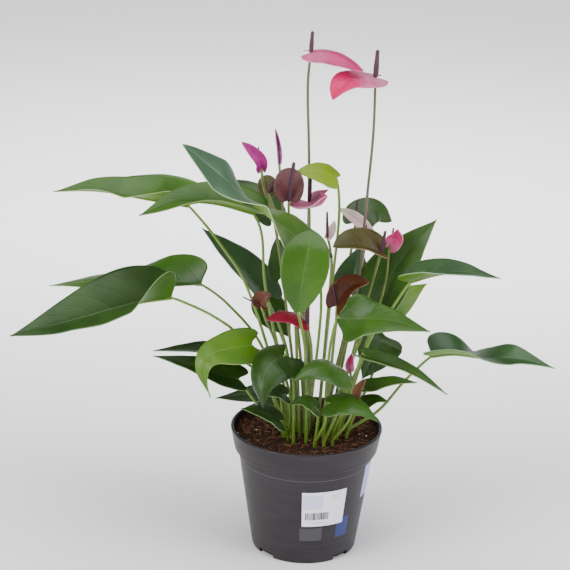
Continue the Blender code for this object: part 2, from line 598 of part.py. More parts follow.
def make_leaf(name, spec, collection):
    stalk, leaf = stalk_and_blade(name, spec["root"], spec, collection)
    grown = [leaf]
    if name in SIDE_LEAVES:
        grown += stalk_and_blade(name + "_side", spec["root"], SIDE_LEAVES[name], collection,
                                 foot_height=SOIL_TOP + 1, thick=SIDE_THICK)
    boolean_all(stalk, grown, "UNION")
    paint(stalk, "leaf_lime" if "lime" in name else "leaf_green")


def spathe_origin(spec):
    """Where the sheath's midrib starts: just below the top of the stem."""
    steps = spec["rib"]
    sideways = (Vector(steps[1]) - Vector(steps[0])).normalized()
    if abs(sideways.z) < 0.9:
        sideways.z = 0
    shift = 0 if spec["parts"] else GAP
    return Vector(spec["top"]) - Vector((0, 0, 1)) + sideways.normalized() * shift


def cut_clasp(spathe, spec, away, radius, collection):
    """Take out of the sheath the room for the stem and the spike that it clasps."""
    top = Vector(spec["top"])
    below = top - (top - Vector(spec["stalk"][-1])).normalized() * CLASP_LENGTH
    points = [below, top, top + away.normalized() * GAP, top + away * 1.1]
    stem_room, spike_room = STALK_THIN + CLASP_ROOM, radius + CLASP_ROOM
    clasp = tube("clasp", points, [stem_room, stem_room, spike_room, spike_room], collection,
                 CLASP_ROUNDNESS)
    boolean_all(spathe, [clasp], "DIFFERENCE")


def make_bloom(name, spec, collection):
    top = Vector(spec["top"])
    away, radius = Vector(spec["spike"][0]), spec["spike"][1]
    stalk = stem(name, spec["root"], spec["stalk"], [top], collection)
    lift = 2 * GAP if spec["parts"] else -1.0
    spike_base = top + away.normalized() * lift
    spike = tube(name + "_spadix", [spike_base + away * share for share in SPIKE_SHARES],
                 [radius * swell for swell in SPIKE_SWELL], collection)
    origin = spathe_origin(spec)
    rows, columns = (6, 4) if spec["parts"] or spec["wide"] > 25 else (5, 2)
    spathe = blade(name + "_spathe", dict(base=0.4, tip=0.75) | spec,
                   [origin + Vector(step) for step in spec["rib"]], rows, columns, collection)
    if spec["parts"]:
        cut_clasp(spathe, spec, away, radius, collection)
        stalk.name = name + "_stem"
        paint(stalk, "stem_green")
        paint(spike, "spadix")
        paint(spathe, spec["colour"])
    else:
        boolean_all(stalk, [spike, spathe], "UNION")
        paint(stalk, spec["colour"])


def turned(name, profile, collection):
    """A round shape from a profile of (radius, height), top to bottom on its outer side."""
    shape = bmesh.new()
    verts = [shape.verts.new(mm((radius, 0, height))) for radius, height in profile]
    for one, two in zip(verts, verts[1:]):
        shape.edges.new((one, two))
    mesh = bpy.data.meshes.new(name)
    shape.to_mesh(mesh)
    shape.free()
    piece = add_piece(name, mesh, collection)
    screw = piece.modifiers.new("turn", "SCREW")
    screw.steps = screw.render_steps = POT_SIDES
    screw.use_merge_vertices = True
    screw.merge_threshold = WELD
    bake_modifiers(piece)
    recalculate(piece.data)
    return piece


def inner_radius(height):
    """The radius of the pot's inside at a height."""
    if height > BODY_TOP + LEDGE - 1:
        share = (height - BODY_TOP) / (POT_HEIGHT - BODY_TOP)
        return COLLAR_FOOT_RADIUS - WALL + (RIM_RADIUS - COLLAR_FOOT_RADIUS) * share * 0.8
    return BASE_RADIUS - WALL + (BODY_TOP_RADIUS - BASE_RADIUS) * height / BODY_TOP


def cutter_box(size, place, angle, collection):
    bpy.ops.mesh.primitive_cube_add(size=1.0)
    box = bpy.context.object
    for holder in list(box.users_collection):
        holder.objects.unlink(box)
    collection.objects.link(box)
    spin = Matrix.Rotation(math.radians(angle), 4, "Z")
    box.data.transform(spin @ Matrix.Translation(mm(place)) @ Matrix.Diagonal((*mm(size), 1.0)))
    return box


def cutter_rod(radius, low, high, x, y, sides, collection):
    bpy.ops.mesh.primitive_cylinder_add(vertices=sides, radius=radius * MM, depth=(high - low) * MM)
    rod = bpy.context.object
    for holder in list(rod.users_collection):
        holder.objects.unlink(rod)
    collection.objects.link(rod)
    rod.data.transform(Matrix.Translation(mm((x, y, (low + high) / 2))))
    return rod


def make_pot(collection, cutters):
    collar_foot = POT_HEIGHT - COLLAR_DEPTH
    lip_inside = RIM_RADIUS - LIP
    inside = [(inner_radius(height), height)
              for height in (WALL, BODY_TOP, BODY_TOP + LEDGE, POT_HEIGHT - LIP)]
    rim = [(lip_inside, POT_HEIGHT - 0.6), (lip_inside + 0.6, POT_HEIGHT),
           (RIM_RADIUS - 0.7, POT_HEIGHT), (RIM_RADIUS, POT_HEIGHT - 0.7)]
    collar = [(COLLAR_FOOT_RADIUS, collar_foot + 1.5), (COLLAR_FOOT_RADIUS - 1.2, collar_foot - 0.8)]
    body = [(BODY_TOP_RADIUS + 0.6, BODY_TOP), (BASE_RADIUS + 0.1, 0.8), (BASE_RADIUS - 0.7, 0)]
    pot = turned("pot", [(0, WALL), *inside, *rim, *collar, *body, (0, 0)], collection)
    notch = (8, NOTCH_WIDTH, NOTCH_HEIGHT + 2)
    notch_place = (BASE_RADIUS - 1, 0, NOTCH_HEIGHT / 2 - 1)
    holes = [cutter_box(notch, notch_place, angle, cutters) for angle in NOTCH_ANGLES]
    for angle in DRAIN_ANGLES:
        x = DRAIN_RING * math.cos(math.radians(angle))
        y = DRAIN_RING * math.sin(math.radians(angle))
        holes.append(cutter_rod(DRAIN_RADIUS, -1, WALL + 1, x, y, DRAIN_SIDES, cutters))
    boolean_all(pot, holes, "DIFFERENCE")
    paint(pot, "pot_plastic")


def make_soil(collection, cutters):
    """The soil that fills the pot, lumpy on top, with a plain hole for each stem."""
    edge = inner_radius(SOIL_TOP) - WALL_ROOM
    low = WALL + GAP
    rings = [(edge * i / SOIL_RINGS, SOIL_TOP) for i in range(SOIL_RINGS + 1)]
    walls = [(inner_radius(height) - WALL_ROOM, height)
             for height in (BODY_TOP + LEDGE + 0.5, BODY_TOP - GAP, low)]
    soil = turned("soil", rings + walls + [(0, low)], collection)
    for vert in soil.data.vertices:
        if vert.co.z > (SOIL_TOP - 0.1) * MM:
            reach = vert.co.xy.length / (edge * MM)
            lump = noise.noise(Vector((vert.co.x, vert.co.y, 0)) / (LUMP_WIDTH * MM))
            vert.co.z += MM * (SOIL_LUMP * lump * (1 - 0.5 * reach) - EDGE_DROP * reach ** 6)
    holes = []
    for spec in [*LEAVES.values(), *BLOOMS.values()]:
        x, y = root_place(spec["root"])
        holes.append(cutter_rod(STALK_THICK + HOLE_ROOM, SOIL_TOP - HOLE_DEPTH, SOIL_TOP + 5,
                                x, y, HOLE_SIDES, cutters))
    boolean_all(soil, holes, "DIFFERENCE")
    paint(soil, "soil")


def make_label(collection):
    """The paper label, bent round the pot's wall."""
    shape = bmesh.new()
    bmesh.ops.create_grid(shape, x_segments=5, y_segments=1, size=1.0)
    for vert in shape.verts:
        angle = LABEL_FROM + (LABEL_TO - LABEL_FROM) * (vert.co.x + 1) / 2
        height = LABEL_LOW + (LABEL_HIGH - LABEL_LOW) * (vert.co.y + 1) / 2
        radius = outer_radius(height) + WALL_ROOM
        turn = math.radians(angle)
        vert.co = mm((radius * math.cos(turn), radius * math.sin(turn), height))
    mesh = bpy.data.meshes.new("label")
    shape.to_mesh(mesh)
    shape.free()
    label = add_piece("label", mesh, collection)
    solidify = label.modifiers.new("thickness", "SOLIDIFY")
    solidify.thickness = LABEL_THICK * MM
    solidify.offset = 1.0
    bake_modifiers(label)
    paint(label, "label_paper")


def outer_radius(height):
    return BASE_RADIUS + (BODY_TOP_RADIUS + 0.6 - BASE_RADIUS) * height / BODY_TOP


def main():
    for old in list(bpy.data.objects):
        bpy.data.objects.remove(old)
    plant = bpy.data.collections.new("potted_anthurium")
    cutters = bpy.data.collections.new("cutters")
    for collection in (plant, cutters):
        bpy.context.scene.collection.children.link(collection)
    make_pot(plant, cutters)
    make_soil(plant, cutters)
    make_label(plant)
    for name, spec in LEAVES.items():
        make_leaf(name, spec, plant)
    for name, spec in BLOOMS.items():
        make_bloom(name, spec, plant)
    bpy.data.collections.remove(cutters)


main()
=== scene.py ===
import json
import math
import random

import bmesh
import bpy
from mathutils import Matrix, Vector, noise

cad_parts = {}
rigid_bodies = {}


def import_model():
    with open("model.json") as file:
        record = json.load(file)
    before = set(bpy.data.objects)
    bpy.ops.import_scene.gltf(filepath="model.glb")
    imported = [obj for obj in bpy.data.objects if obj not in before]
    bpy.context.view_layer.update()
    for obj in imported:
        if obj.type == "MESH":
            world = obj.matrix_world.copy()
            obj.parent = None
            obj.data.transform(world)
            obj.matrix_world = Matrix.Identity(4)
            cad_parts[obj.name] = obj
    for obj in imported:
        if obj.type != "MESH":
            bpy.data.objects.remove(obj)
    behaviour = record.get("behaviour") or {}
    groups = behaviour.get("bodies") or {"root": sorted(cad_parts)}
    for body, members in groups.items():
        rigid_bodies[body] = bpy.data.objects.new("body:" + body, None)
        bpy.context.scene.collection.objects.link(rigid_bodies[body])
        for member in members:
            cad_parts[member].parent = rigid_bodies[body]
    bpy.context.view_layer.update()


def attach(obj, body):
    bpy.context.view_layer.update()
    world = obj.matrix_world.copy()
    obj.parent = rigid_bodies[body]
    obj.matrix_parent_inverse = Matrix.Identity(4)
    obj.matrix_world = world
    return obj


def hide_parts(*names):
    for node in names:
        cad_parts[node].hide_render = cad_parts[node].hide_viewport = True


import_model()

mmToM = 0.001


def mm(point):
    return Vector(point) * mmToM


# The noise or cell scale whose pattern repeats about every so many millimetres.
def scaleFor(millimetres):
    return 1 / (millimetres * mmToM)


# An sRGB hex colour as linear red, green, blue and alpha.
def linear(hexColour):
    parts = [int(hexColour[i:i + 2], 16) / 255 for i in (1, 3, 5)]
    return [c / 12.92 if c <= 0.04045 else ((c + 0.055) / 1.055) ** 2.4 for c in parts] + [1.0]


# Adds a node with its settings. An input is a value or a socket to link. Gives the wanted output.
def addNode(tree, kind, inputs=None, out=0, **settings):
    node = tree.nodes.new("ShaderNode" + kind)
    for name, value in settings.items():
        setattr(node, name, value)
    for name, value in (inputs or {}).items():
        if isinstance(value, bpy.types.NodeSocket):
            tree.links.new(value, node.inputs[name])
        else:
            node.inputs[name].default_value = value
    return node.outputs[out]


def newMaterial(name):
    material = bpy.data.materials.new(name)
    material.use_nodes = True
    tree = material.node_tree
    return material, tree, tree.nodes["Principled BSDF"]


# Lays colours over a base colour, each as a mask, how strongly it shows, and the colour.
def layColours(tree, base, layers):
    base = linear(base)
    for mask, strength, colour in layers:
        share = addNode(tree, "Math", {0: mask, 1: strength}, operation="MULTIPLY")
        base = addNode(tree, "Mix", {0: share, 6: base, 7: linear(colour)}, out=2, data_type="RGBA")
    return base


# Wires colour, roughness (a number or a socket) and a relief of so many millimetres to the shader.
def wireSurface(tree, shader, colour, roughness, relief, depth, strength):
    tree.links.new(colour, shader.inputs["Base Color"])
    if isinstance(roughness, bpy.types.NodeSocket):
        tree.links.new(roughness, shader.inputs["Roughness"])
    else:
        shader.inputs["Roughness"].default_value = roughness
    raised = addNode(tree, "Bump", {"Height": relief, "Distance": depth * mmToM, "Strength": strength})
    tree.links.new(raised, shader.inputs["Normal"])


# A printed, painted or matt surface: a slight speckle keeps it from looking like a flat fill.
def plainMaterial(name, colour, roughness, speckle="", share=0.0, grain=1.1):
    material, tree, shader = newMaterial(name)
    place = addNode(tree, "TexCoord", out="Object")
    fine = addNode(tree, "TexNoise", {"Vector": place, "Scale": scaleFor(grain), "Detail": 3.0})
    base = layColours(tree, colour, [(fine, share, speckle or colour)])
    wireSurface(tree, shader, base, roughness, fine, 0.08, 0.3)
    return material


# Puts a finished mesh in the scene as a piece that rides on the part.
def linkPiece(name, mesh, materials, nodes=()):
    piece = bpy.data.objects.new(name, mesh)
    bpy.context.scene.collection.objects.link(piece)
    for material in materials:
        mesh.materials.append(material)
    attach(piece, "root")
    if nodes:
        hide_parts(*nodes)


def meshFrom(shape, name, smooth=True):
    for face in shape.faces:
        face.smooth = smooth
    mesh = bpy.data.meshes.new(name)
    shape.to_mesh(mesh)
    shape.free()
    return mesh


def addMesh(shape, mesh):
    shape.from_mesh(mesh)
    bpy.data.meshes.remove(mesh)


# Pours a smaller bmesh into a shape, all of it in one material slot.
def pourInto(shape, part, slotIndex):
    for face in part.faces:
        face.material_index = slotIndex
    addMesh(shape, meshFrom(part, "part", False))


# A mesh as its live modifiers shape it. The object goes.
def applied(piece):
    mesh = bpy.data.meshes.new_from_object(piece.evaluated_get(bpy.context.evaluated_depsgraph_get()))
    bpy.data.objects.remove(piece)
    return mesh


# Points on part of a circle of a profile, in degrees.
def arc(centre, radius, fromAngle, toAngle, steps):
    turns = [math.radians(fromAngle + (toAngle - fromAngle) * i / steps) for i in range(steps + 1)]
    return [(centre[0] + radius * math.cos(turn), centre[1] + radius * math.sin(turn)) for turn in turns]


# A round shape, spun from a profile of (radius, height).
def addTurned(shape, profile, sides):
    line = [shape.verts.new(mm((radius, 0, height))) for radius, height in profile]
    edges = [shape.edges.new(pair) for pair in zip(line, line[1:])]
    bmesh.ops.spin(shape, geom=line + edges, axis=(0, 0, 1), cent=(0, 0, 0), angle=2 * math.pi,
                   steps=sides, use_merge=True)
    bmesh.ops.remove_doubles(shape, verts=shape.verts, dist=0.005 * mmToM)
    bmesh.ops.recalc_face_normals(shape, faces=shape.faces)


# A round rod through places, with closed ends: a grid rolled up round the line.
def addRod(shape, places, radii, sides, slotIndex):
    frames = []
    side = Vector((1, 0, 0))
    for index, place in enumerate(places):
        run = (places[min(index + 1, len(places) - 1)] - places[max(index - 1, 0)]).normalized()
        side = (side - run * side.dot(run)).normalized()
        frames.append((place, side, run.cross(side)))
    rod = bmesh.new()
    bmesh.ops.create_grid(rod, x_segments=len(places) - 1, y_segments=sides, size=1.0)
    for vert in rod.verts:
        index = round((vert.co.x + 1) / 2 * (len(places) - 1))
        turn = math.pi * (vert.co.y + 1)
        place, side, other = frames[index]
        vert.co = mm(place + (side * math.cos(turn) + other * math.sin(turn)) * radii[index])
    bmesh.ops.remove_doubles(rod, verts=rod.verts, dist=0.005 * mmToM)
    bmesh.ops.holes_fill(rod, edges=[edge for edge in rod.edges if edge.is_boundary], sides=sides)
    bmesh.ops.recalc_face_normals(rod, faces=rod.faces)
    pourInto(shape, rod, slotIndex)


camera = dict(place=(0.0, -1.4, 0.717), pitch=18.33, yaw=-0.93, roll=1.29, lens=103.65, sensor=36.0)


def makeCamera():
    place, pitch = Vector(camera["place"]), math.radians(camera["pitch"])
    yaw, roll = math.radians(camera["yaw"]), math.radians(camera["roll"])
    level = Vector((math.sin(yaw), math.cos(yaw), 0))
    right = Vector((math.cos(yaw), -math.sin(yaw), 0))
    forward = level * math.cos(pitch) - Vector((0, 0, math.sin(pitch)))
    up = level * math.sin(pitch) + Vector((0, 0, math.cos(pitch)))
    across = right * math.cos(roll) + up * math.sin(roll)
    above = up * math.cos(roll) - right * math.sin(roll)
    holder = bpy.data.objects.new("camera", bpy.data.cameras.new("camera"))
    holder.data.lens = camera["lens"]
    holder.data.sensor_width = camera["sensor"]
    holder.matrix_world = Matrix.Translation(place) @ Matrix((across, above, -forward)).transposed().to_4x4()
    bpy.context.scene.collection.objects.link(holder)
    bpy.context.scene.camera = holder


# Lamps in metres: place, what it looks at, size, watts, colour. The back lamp lights only the floor.
studio = dict(
    worldStrength=0.06, worldColour="#FFFFFF", floorColour="#FCFCFC",
    floorReach=3600.0, floorCurve=500.0, wallHeight=1500.0, floorDrop=0.2,
    lamps=dict(
        keyLamp=((-1.5, -1.2, 1.1), (0.0, 0.0, 0.22), 1.2, 42.0, "#FFFFFF"),
        fillLamp=((1.7, -1.0, 1.0), (0.0, 0.0, 0.22), 1.2, 32.0, "#F6F8FF"),
        topLamp=((0.1, -0.2, 2.4), (0.0, 0.0, 0.22), 2.4, 80.0, "#FAFBFF"),
        backLamp=((0.0, 0.9, 1.6), (0.0, 3.4, 0.4), 1.6, 90.0, "#FFFFFF")))


# A plain pale round floor that curves up into a low wall all round, as studio paper does.
def makeFloor():
    reach, curve = studio["floorReach"], studio["floorCurve"]
    shape = bmesh.new()
    profile = [(0, 0), (1500, 0), (reach, 0)] + arc((reach, curve), curve, -75, 0, 5)
    addTurned(shape, profile + [(reach + curve, studio["wallHeight"])], 96)
    bmesh.ops.translate(shape, verts=shape.verts, vec=mm((0, 0, -studio["floorDrop"])))
    mesh = meshFrom(shape, "floor")
    mesh.materials.append(plainMaterial("floorPaint", studio["floorColour"], 0.7))
    floor = bpy.data.objects.new("floor", mesh)
    bpy.context.scene.collection.objects.link(floor)


def makeLights():
    world = bpy.data.worlds.new("studio")
    world.use_nodes = True
    back = world.node_tree.nodes["Background"]
    back.inputs["Color"].default_value = linear(studio["worldColour"])
    back.inputs["Strength"].default_value = studio["worldStrength"]
    bpy.context.scene.world = world
    for name, (place, aim, size, watts, colour) in studio["lamps"].items():
        lamp = bpy.data.lights.new(name, "AREA")
        lamp.size = size
        lamp.energy = watts
        lamp.color = linear(colour)[:3]
        holder = bpy.data.objects.new(name, lamp)
        holder.location = place
        holder.rotation_euler = (Vector(aim) - Vector(place)).to_track_quat("-Z", "Y").to_euler()
        bpy.context.scene.collection.objects.link(holder)


# The pot: heights and radii, then its plain prints and its painted sheen strip as start and end angle, low,
# high and ink.
pot = dict(
    height=118.0, rimRadius=70.0, collarDepth=21.5, collarFootRadius=66.2, bodyTopRadius=61.8,
    bodyTop=93.3, baseRadius=48.5, wall=1.6, lip=2.7, sides=160,
    notchAngles=(45, 135, 225, 315), notchWidth=18.0, notchHeight=5.0, notchDepth=8.0, notchCorner=1.2,
    drainAngles=(0, 90, 180, 270), drainRadius=3.5, drainRing=28.0,
    colour="#1F181C", paleColour="#282125", scuff="#8C8A90", roughness=0.38, specular=0.35,
    printLift=0.03, printThick=0.06,
    prints=dict(
        printedLine=(-150.0, -30.0, 88.3, 88.7, "paleInk"),
        greySquare=(-94.0, -72.0, 25.0, 38.5, "greyInk"),
        blueSquare=(-57.0, -42.5, 25.5, 46.0, "blueInk"),
        # The pale bluish strip is no print: it paints the pot's sheen, a painted highlight.
        paintedSheenStrip=(-27.0, -11.0, 58.0, 91.0, "sheenStripPaint")),
    inks=dict(
        paleInk=("#57555F", 0.45), greyInk=("#3A373C", 0.45), blueInk=("#182868", 0.4),
        # The pale bluish colour of the painted sheen strip, a painted highlight.
        sheenStripPaint=("#A4A8DA", 0.35)))


# Moulded anthracite polypropylene: a satin sheen that breaks up in wide flow marks, and fine scuffs.
def potMaterial():
    material, tree, shader = newMaterial("potPlastic")
    place = addNode(tree, "TexCoord", out="Object")
    flat = addNode(tree, "VectorMath", {0: place, 1: (1.0, 1.0, 5.0)}, operation="MULTIPLY")
    flow = addNode(tree, "TexNoise", {"Vector": flat, "Scale": scaleFor(45.0), "Detail": 4.0})
    fine = addNode(tree, "TexNoise", {"Vector": place, "Scale": scaleFor(0.7), "Detail": 2.0})
    worn = addNode(tree, "TexNoise", {"Vector": place, "Scale": scaleFor(4.2), "Detail": 5.0,
                                      "Roughness": 0.75})
    paler = addNode(tree, "MapRange", {0: flow, 1: 0.35, 2: 0.7}, interpolation_type="SMOOTHSTEP")
    scuffs = addNode(tree, "MapRange", {0: worn, 1: 0.62, 2: 0.8}, interpolation_type="SMOOTHSTEP")
    base = layColours(tree, pot["colour"], [(paler, 1.0, pot["paleColour"]), (scuffs, 0.12, pot["scuff"])])
    rough = addNode(tree, "MapRange", {0: flow, 3: pot["roughness"] - 0.06, 4: pot["roughness"] + 0.12})
    wireSurface(tree, shader, base, rough, fine, 0.06, 0.5)
    shader.inputs["Specular IOR Level"].default_value = pot["specular"]
    return material


def innerRadius(height):
    if height > pot["bodyTop"] + 4:
        share = (height - pot["bodyTop"]) / (pot["height"] - pot["bodyTop"])
        return (pot["collarFootRadius"] - pot["wall"]
                + (pot["rimRadius"] - pot["collarFootRadius"]) * share * 0.8)
    share = height / pot["bodyTop"]
    return pot["baseRadius"] - pot["wall"] + (pot["bodyTopRadius"] - pot["baseRadius"]) * share


def outerRadius(height):
    share = height / pot["bodyTop"]
    return pot["baseRadius"] + (pot["bodyTopRadius"] + 0.6 - pot["baseRadius"]) * share


# The pot's section, from the middle of its floor up the inside, over the rim and down the outside.
def potProfile():
    height, rim, wall = pot["height"], pot["rimRadius"], pot["wall"]
    bodyTop, foot, collarFoot = pot["bodyTop"], pot["collarFootRadius"], height - pot["collarDepth"]
    profile = [(0, wall), (innerRadius(wall) - 2, wall)]
    profile += [(innerRadius(h), h) for h in (wall + 1.5, 20, 40, 60, bodyTop - 2, bodyTop + 5, 108)]
    profile += arc((rim - pot["lip"] + 1.2, height - 1.3), 1.3, 180, 90, 6)
    profile += arc((rim - 1.3, height - 1.3), 1.3, 90, 0, 6)
    profile += [(rim - 0.55, height - 3.0), (rim - 0.75, height - 4.0), (rim - 1.7, height - 10),
                (rim - 2.7, height - 15), (foot + 0.25, collarFoot + 3.0)]
    profile += arc((foot - 1.7, collarFoot + 1.7), 1.8, 0, -75, 6)
    profile += [(foot - 2.2, collarFoot - 0.7)]
    profile += arc((pot["bodyTopRadius"] + 2.1, bodyTop + 1.6), 1.4, 110, 190, 4)
    profile += [(outerRadius(h), h) for h in (bodyTop - 2, 80, 60, 40, 25, 12, 4)]
    profile += arc((pot["baseRadius"] - 1.2, 1.3), 1.3, 0, -90, 5)
    return profile + [(pot["baseRadius"] - 9, 0), (0, 0)]


# Boxes with rounded corners for the notches in the foot, and rods for the drain holes.
def addCutters(collection):
    shapes = []
    for angle in pot["notchAngles"]:
        shape = bmesh.new()
        bmesh.ops.create_cube(shape, size=1.0)
        size = mm((pot["notchDepth"], pot["notchWidth"], pot["notchHeight"] * 2))
        bmesh.ops.scale(shape, vec=size, verts=shape.verts)
        bmesh.ops.translate(shape, vec=mm((pot["baseRadius"] - 1, 0, 0)), verts=shape.verts)
        bmesh.ops.rotate(shape, matrix=Matrix.Rotation(math.radians(angle), 3, "Z"), verts=shape.verts)
        upper = [edge for edge in shape.edges if all(vert.co.z > 0 for vert in edge.verts)]
        bmesh.ops.bevel(shape, geom=upper, offset=pot["notchCorner"] * mmToM, segments=3, profile=0.5,
                        affect="EDGES", material=-1)
        shapes.append(shape)
    for angle in pot["drainAngles"]:
        shape = bmesh.new()
        turn = math.radians(angle)
        middle = mm((pot["drainRing"] * math.cos(turn), pot["drainRing"] * math.sin(turn), 0))
        radius = pot["drainRadius"] * mmToM
        bmesh.ops.create_cone(shape, cap_ends=True, segments=32, radius1=radius, radius2=radius,
                              depth=8 * mmToM, matrix=Matrix.Translation(middle))
        shapes.append(shape)
    for shape in shapes:
        collection.objects.link(bpy.data.objects.new("cutter", meshFrom(shape, "cutter", False)))


def makePot(material):
    shape = bmesh.new()
    addTurned(shape, potProfile(), pot["sides"])
    piece = bpy.data.objects.new("potShell", meshFrom(shape, "potShell"))
    bpy.context.scene.collection.objects.link(piece)
    cutters = bpy.data.collections.new("potCutters")
    bpy.context.scene.collection.children.link(cutters)
    addCutters(cutters)
    cut = piece.modifiers.new("cut", "BOOLEAN")
    cut.operation = "DIFFERENCE"
    cut.operand_type = "COLLECTION"
    cut.collection = cutters
    cut.solver = "MANIFOLD"
    mesh = applied(piece)
    mesh.materials.clear()
    for cutter in list(cutters.objects):
        bpy.data.objects.remove(cutter)
    bpy.data.collections.remove(cutters)
    shape = bmesh.new()
    addMesh(shape, mesh)
    mesh = meshFrom(shape, "potShell")
    mesh.set_sharp_from_angle(angle=math.radians(50))
    linkPiece("potShell", mesh, [material], ["pot"])


# A thin patch that follows the pot's wall: a grid bent round it and thickened outwards.
def addPatch(shape, fromAngle, toAngle, low, high, lift, thick, slotIndex=0):
    across = max(1, round((toAngle - fromAngle) / 1.2))
    up = max(1, round((high - low) / 6))
    patch = bmesh.new()
    bmesh.ops.create_grid(patch, x_segments=across, y_segments=up, size=1.0)
    for vert in patch.verts:
        height = low + (high - low) * (vert.co.y + 1) / 2
        turn = math.radians(fromAngle + (toAngle - fromAngle) * (vert.co.x + 1) / 2)
        radius = outerRadius(height) + lift
        vert.co = mm((radius * math.cos(turn), radius * math.sin(turn), height))
    patch.normal_update()
    bmesh.ops.solidify(patch, geom=patch.faces, thickness=-thick * mmToM)
    bmesh.ops.recalc_face_normals(patch, faces=patch.faces)
    pourInto(shape, patch, slotIndex)


# Plain marks printed on the pot, a thin line and squares, and a pale bluish strip that paints the pot's
# sheen as a painted highlight.
def makePrints():
    looks = {name: plainMaterial(name, *values) for name, values in pot["inks"].items()}
    for name, (fromAngle, toAngle, low, high, ink) in pot["prints"].items():
        shape = bmesh.new()
        addPatch(shape, fromAngle, toAngle, low, high, pot["printLift"], pot["printThick"])
        linkPiece(name, meshFrom(shape, name, False), [looks[ink]])


# The sticker: angles round the pot and heights of its sheet, its bars, its tinted square and rules.
label = dict(
    fromAngle=-92.0, toAngle=-51.0, low=41.0, high=77.0, lift=0.35, thick=0.3,
    bars=19, barLow=7.0, barHigh=14.5, barStart=3.0, barWidths=(0.45, 0.6, 0.9, 1.2),
    barGaps=(0.35, 0.5, 0.6), seed=5, square=(-91.0, -73.0, 59.0, 74.0),
    rules=((-66.0, -56.0, 72.0), (-66.0, -58.0, 69.5), (-84.0, -70.0, 44.8)), ruleHigh=0.5,
    paper="#F4F3F8", ink="#121116", squareInk="#D4D2EA", ruleInk="#8A8892")


# Plain bars that stand for nothing, a plain tinted square and plain thin rules on coated paper.
def makeLabel():
    shape = bmesh.new()
    addPatch(shape, label["fromAngle"], label["toAngle"], label["low"], label["high"], label["lift"],
             label["thick"])
    draw = random.Random(label["seed"])
    angle = label["fromAngle"] + label["barStart"]
    top = label["lift"] + label["thick"] - 0.02
    for _ in range(label["bars"]):
        wide = draw.choice(label["barWidths"])
        addPatch(shape, angle, angle + wide, label["low"] + label["barLow"],
                 label["low"] + label["barHigh"], top, 0.05, 1)
        angle += wide + draw.choice(label["barGaps"])
    addPatch(shape, *label["square"], top, 0.04, 2)
    for fromAngle, toAngle, height in label["rules"]:
        addPatch(shape, fromAngle, toAngle, height, height + label["ruleHigh"], top, 0.04, 3)
    looks = [plainMaterial("stickerPaper", label["paper"], 0.4, "#E2E0EA", 0.5, 16.7),
             plainMaterial("stickerInk", label["ink"], 0.5),
             plainMaterial("stickerTint", label["squareInk"], 0.4),
             plainMaterial("stickerRule", label["ruleInk"], 0.5)]
    linkPiece("sticker", meshFrom(shape, "sticker", False), looks, ["label"])


soil = dict(
    top=114.0, bottom=1.9, gap=0.4, lump=1.6, rings=70, sides=220, crumbs=2300, chips=170, perlite=20,
    fibres=240, fibreSteps=7, fibreRadii=(0.1, 0.19, 0.22, 0.22, 0.2, 0.15, 0.08),
    dark="#130B07", brown="#381F10", reddish="#5C3018", white="#D9D2C4", whitest="#F3EFE6",
    straw="#A87C4C", strawDark="#643A1C", seed=11)


# Damp peat: nearly black between the crumbs, with red-brown fibre on them, and dull all over. The near black
# sits where the grain relief is low and the red-brown on its raised grains: partly the peat's own colour,
# partly painted shade.
def soilMaterial():
    material, tree, shader = newMaterial("pottingSoil")
    place = addNode(tree, "TexCoord", out="Object")
    lumps = addNode(tree, "TexNoise", {"Vector": place, "Scale": scaleFor(3.85), "Detail": 5.0,
                                       "Roughness": 0.65})
    grains = addNode(tree, "TexNoise", {"Vector": place, "Scale": scaleFor(0.625), "Detail": 4.0,
                                        "Roughness": 0.7})
    bits = addNode(tree, "TexVoronoi", {"Vector": place, "Scale": scaleFor(3.0)}, feature="F1")
    brown = addNode(tree, "MapRange", {0: lumps, 1: 0.38, 2: 0.62}, interpolation_type="SMOOTHSTEP")
    # Red-brown on the raised grains, near black in the low spots: partly painted shade.
    red = addNode(tree, "MapRange", {0: grains, 1: 0.5, 2: 0.72}, interpolation_type="SMOOTHSTEP")
    base = layColours(tree, soil["dark"], [(brown, 1.0, soil["brown"]), (red, 0.75, soil["reddish"])])
    height = addNode(tree, "Math", {0: grains, 1: 0.6, 2: bits}, operation="MULTIPLY_ADD")
    wireSurface(tree, shader, base, 0.92, height, 1.2, 0.9)
    shader.inputs["Specular IOR Level"].default_value = 0.25
    return material


def soilHeight(x, y):
    reach = math.hypot(x, y) / 66.0
    lump = noise.noise(Vector((x, y, 0)) / 9)
    fine = noise.noise(Vector((x, y, 9)) / 2.6)
    finest = noise.noise(Vector((x, y, 3)) / 1.1)
    return (soil["top"] + soil["lump"] * lump * (1 - 0.5 * reach) - 0.8 * reach ** 6
            + 0.75 * fine + 0.35 * finest)


def randomSpot(draw, edge):
    reach = (edge - 1.5) * math.sqrt(draw.random())
    turn = draw.uniform(0, 2 * math.pi)
    return reach * math.cos(turn), reach * math.sin(turn)


# One rough lump on the soil: a small ball, dented, stretched and turned.
def addLump(shape, draw, spot, size, flatness, fineness, sink):
    x, y = spot
    spin = Matrix.Rotation(draw.uniform(0, 6.28), 4, draw.choice(("X", "Y", "Z")))
    tilt = Matrix.Rotation(draw.uniform(-0.6, 0.6), 4, "X")
    stretch = Matrix.Diagonal((1.0, draw.uniform(0.55, 0.95), flatness, 1.0))
    place = Matrix.Translation(mm((x, y, soilHeight(x, y) + size * (flatness * 0.5 - sink))))
    made = bmesh.ops.create_icosphere(shape, subdivisions=fineness, radius=size * mmToM)["verts"]
    seed = Vector((draw.uniform(0, 50), 0, 0))
    for vert in made:
        vert.co = vert.co * (1 + 0.35 * noise.noise(Vector(vert.co) / (size * mmToM) * 1.7 + seed))
    bmesh.ops.transform(shape, matrix=place @ tilt @ stretch @ spin, verts=made)


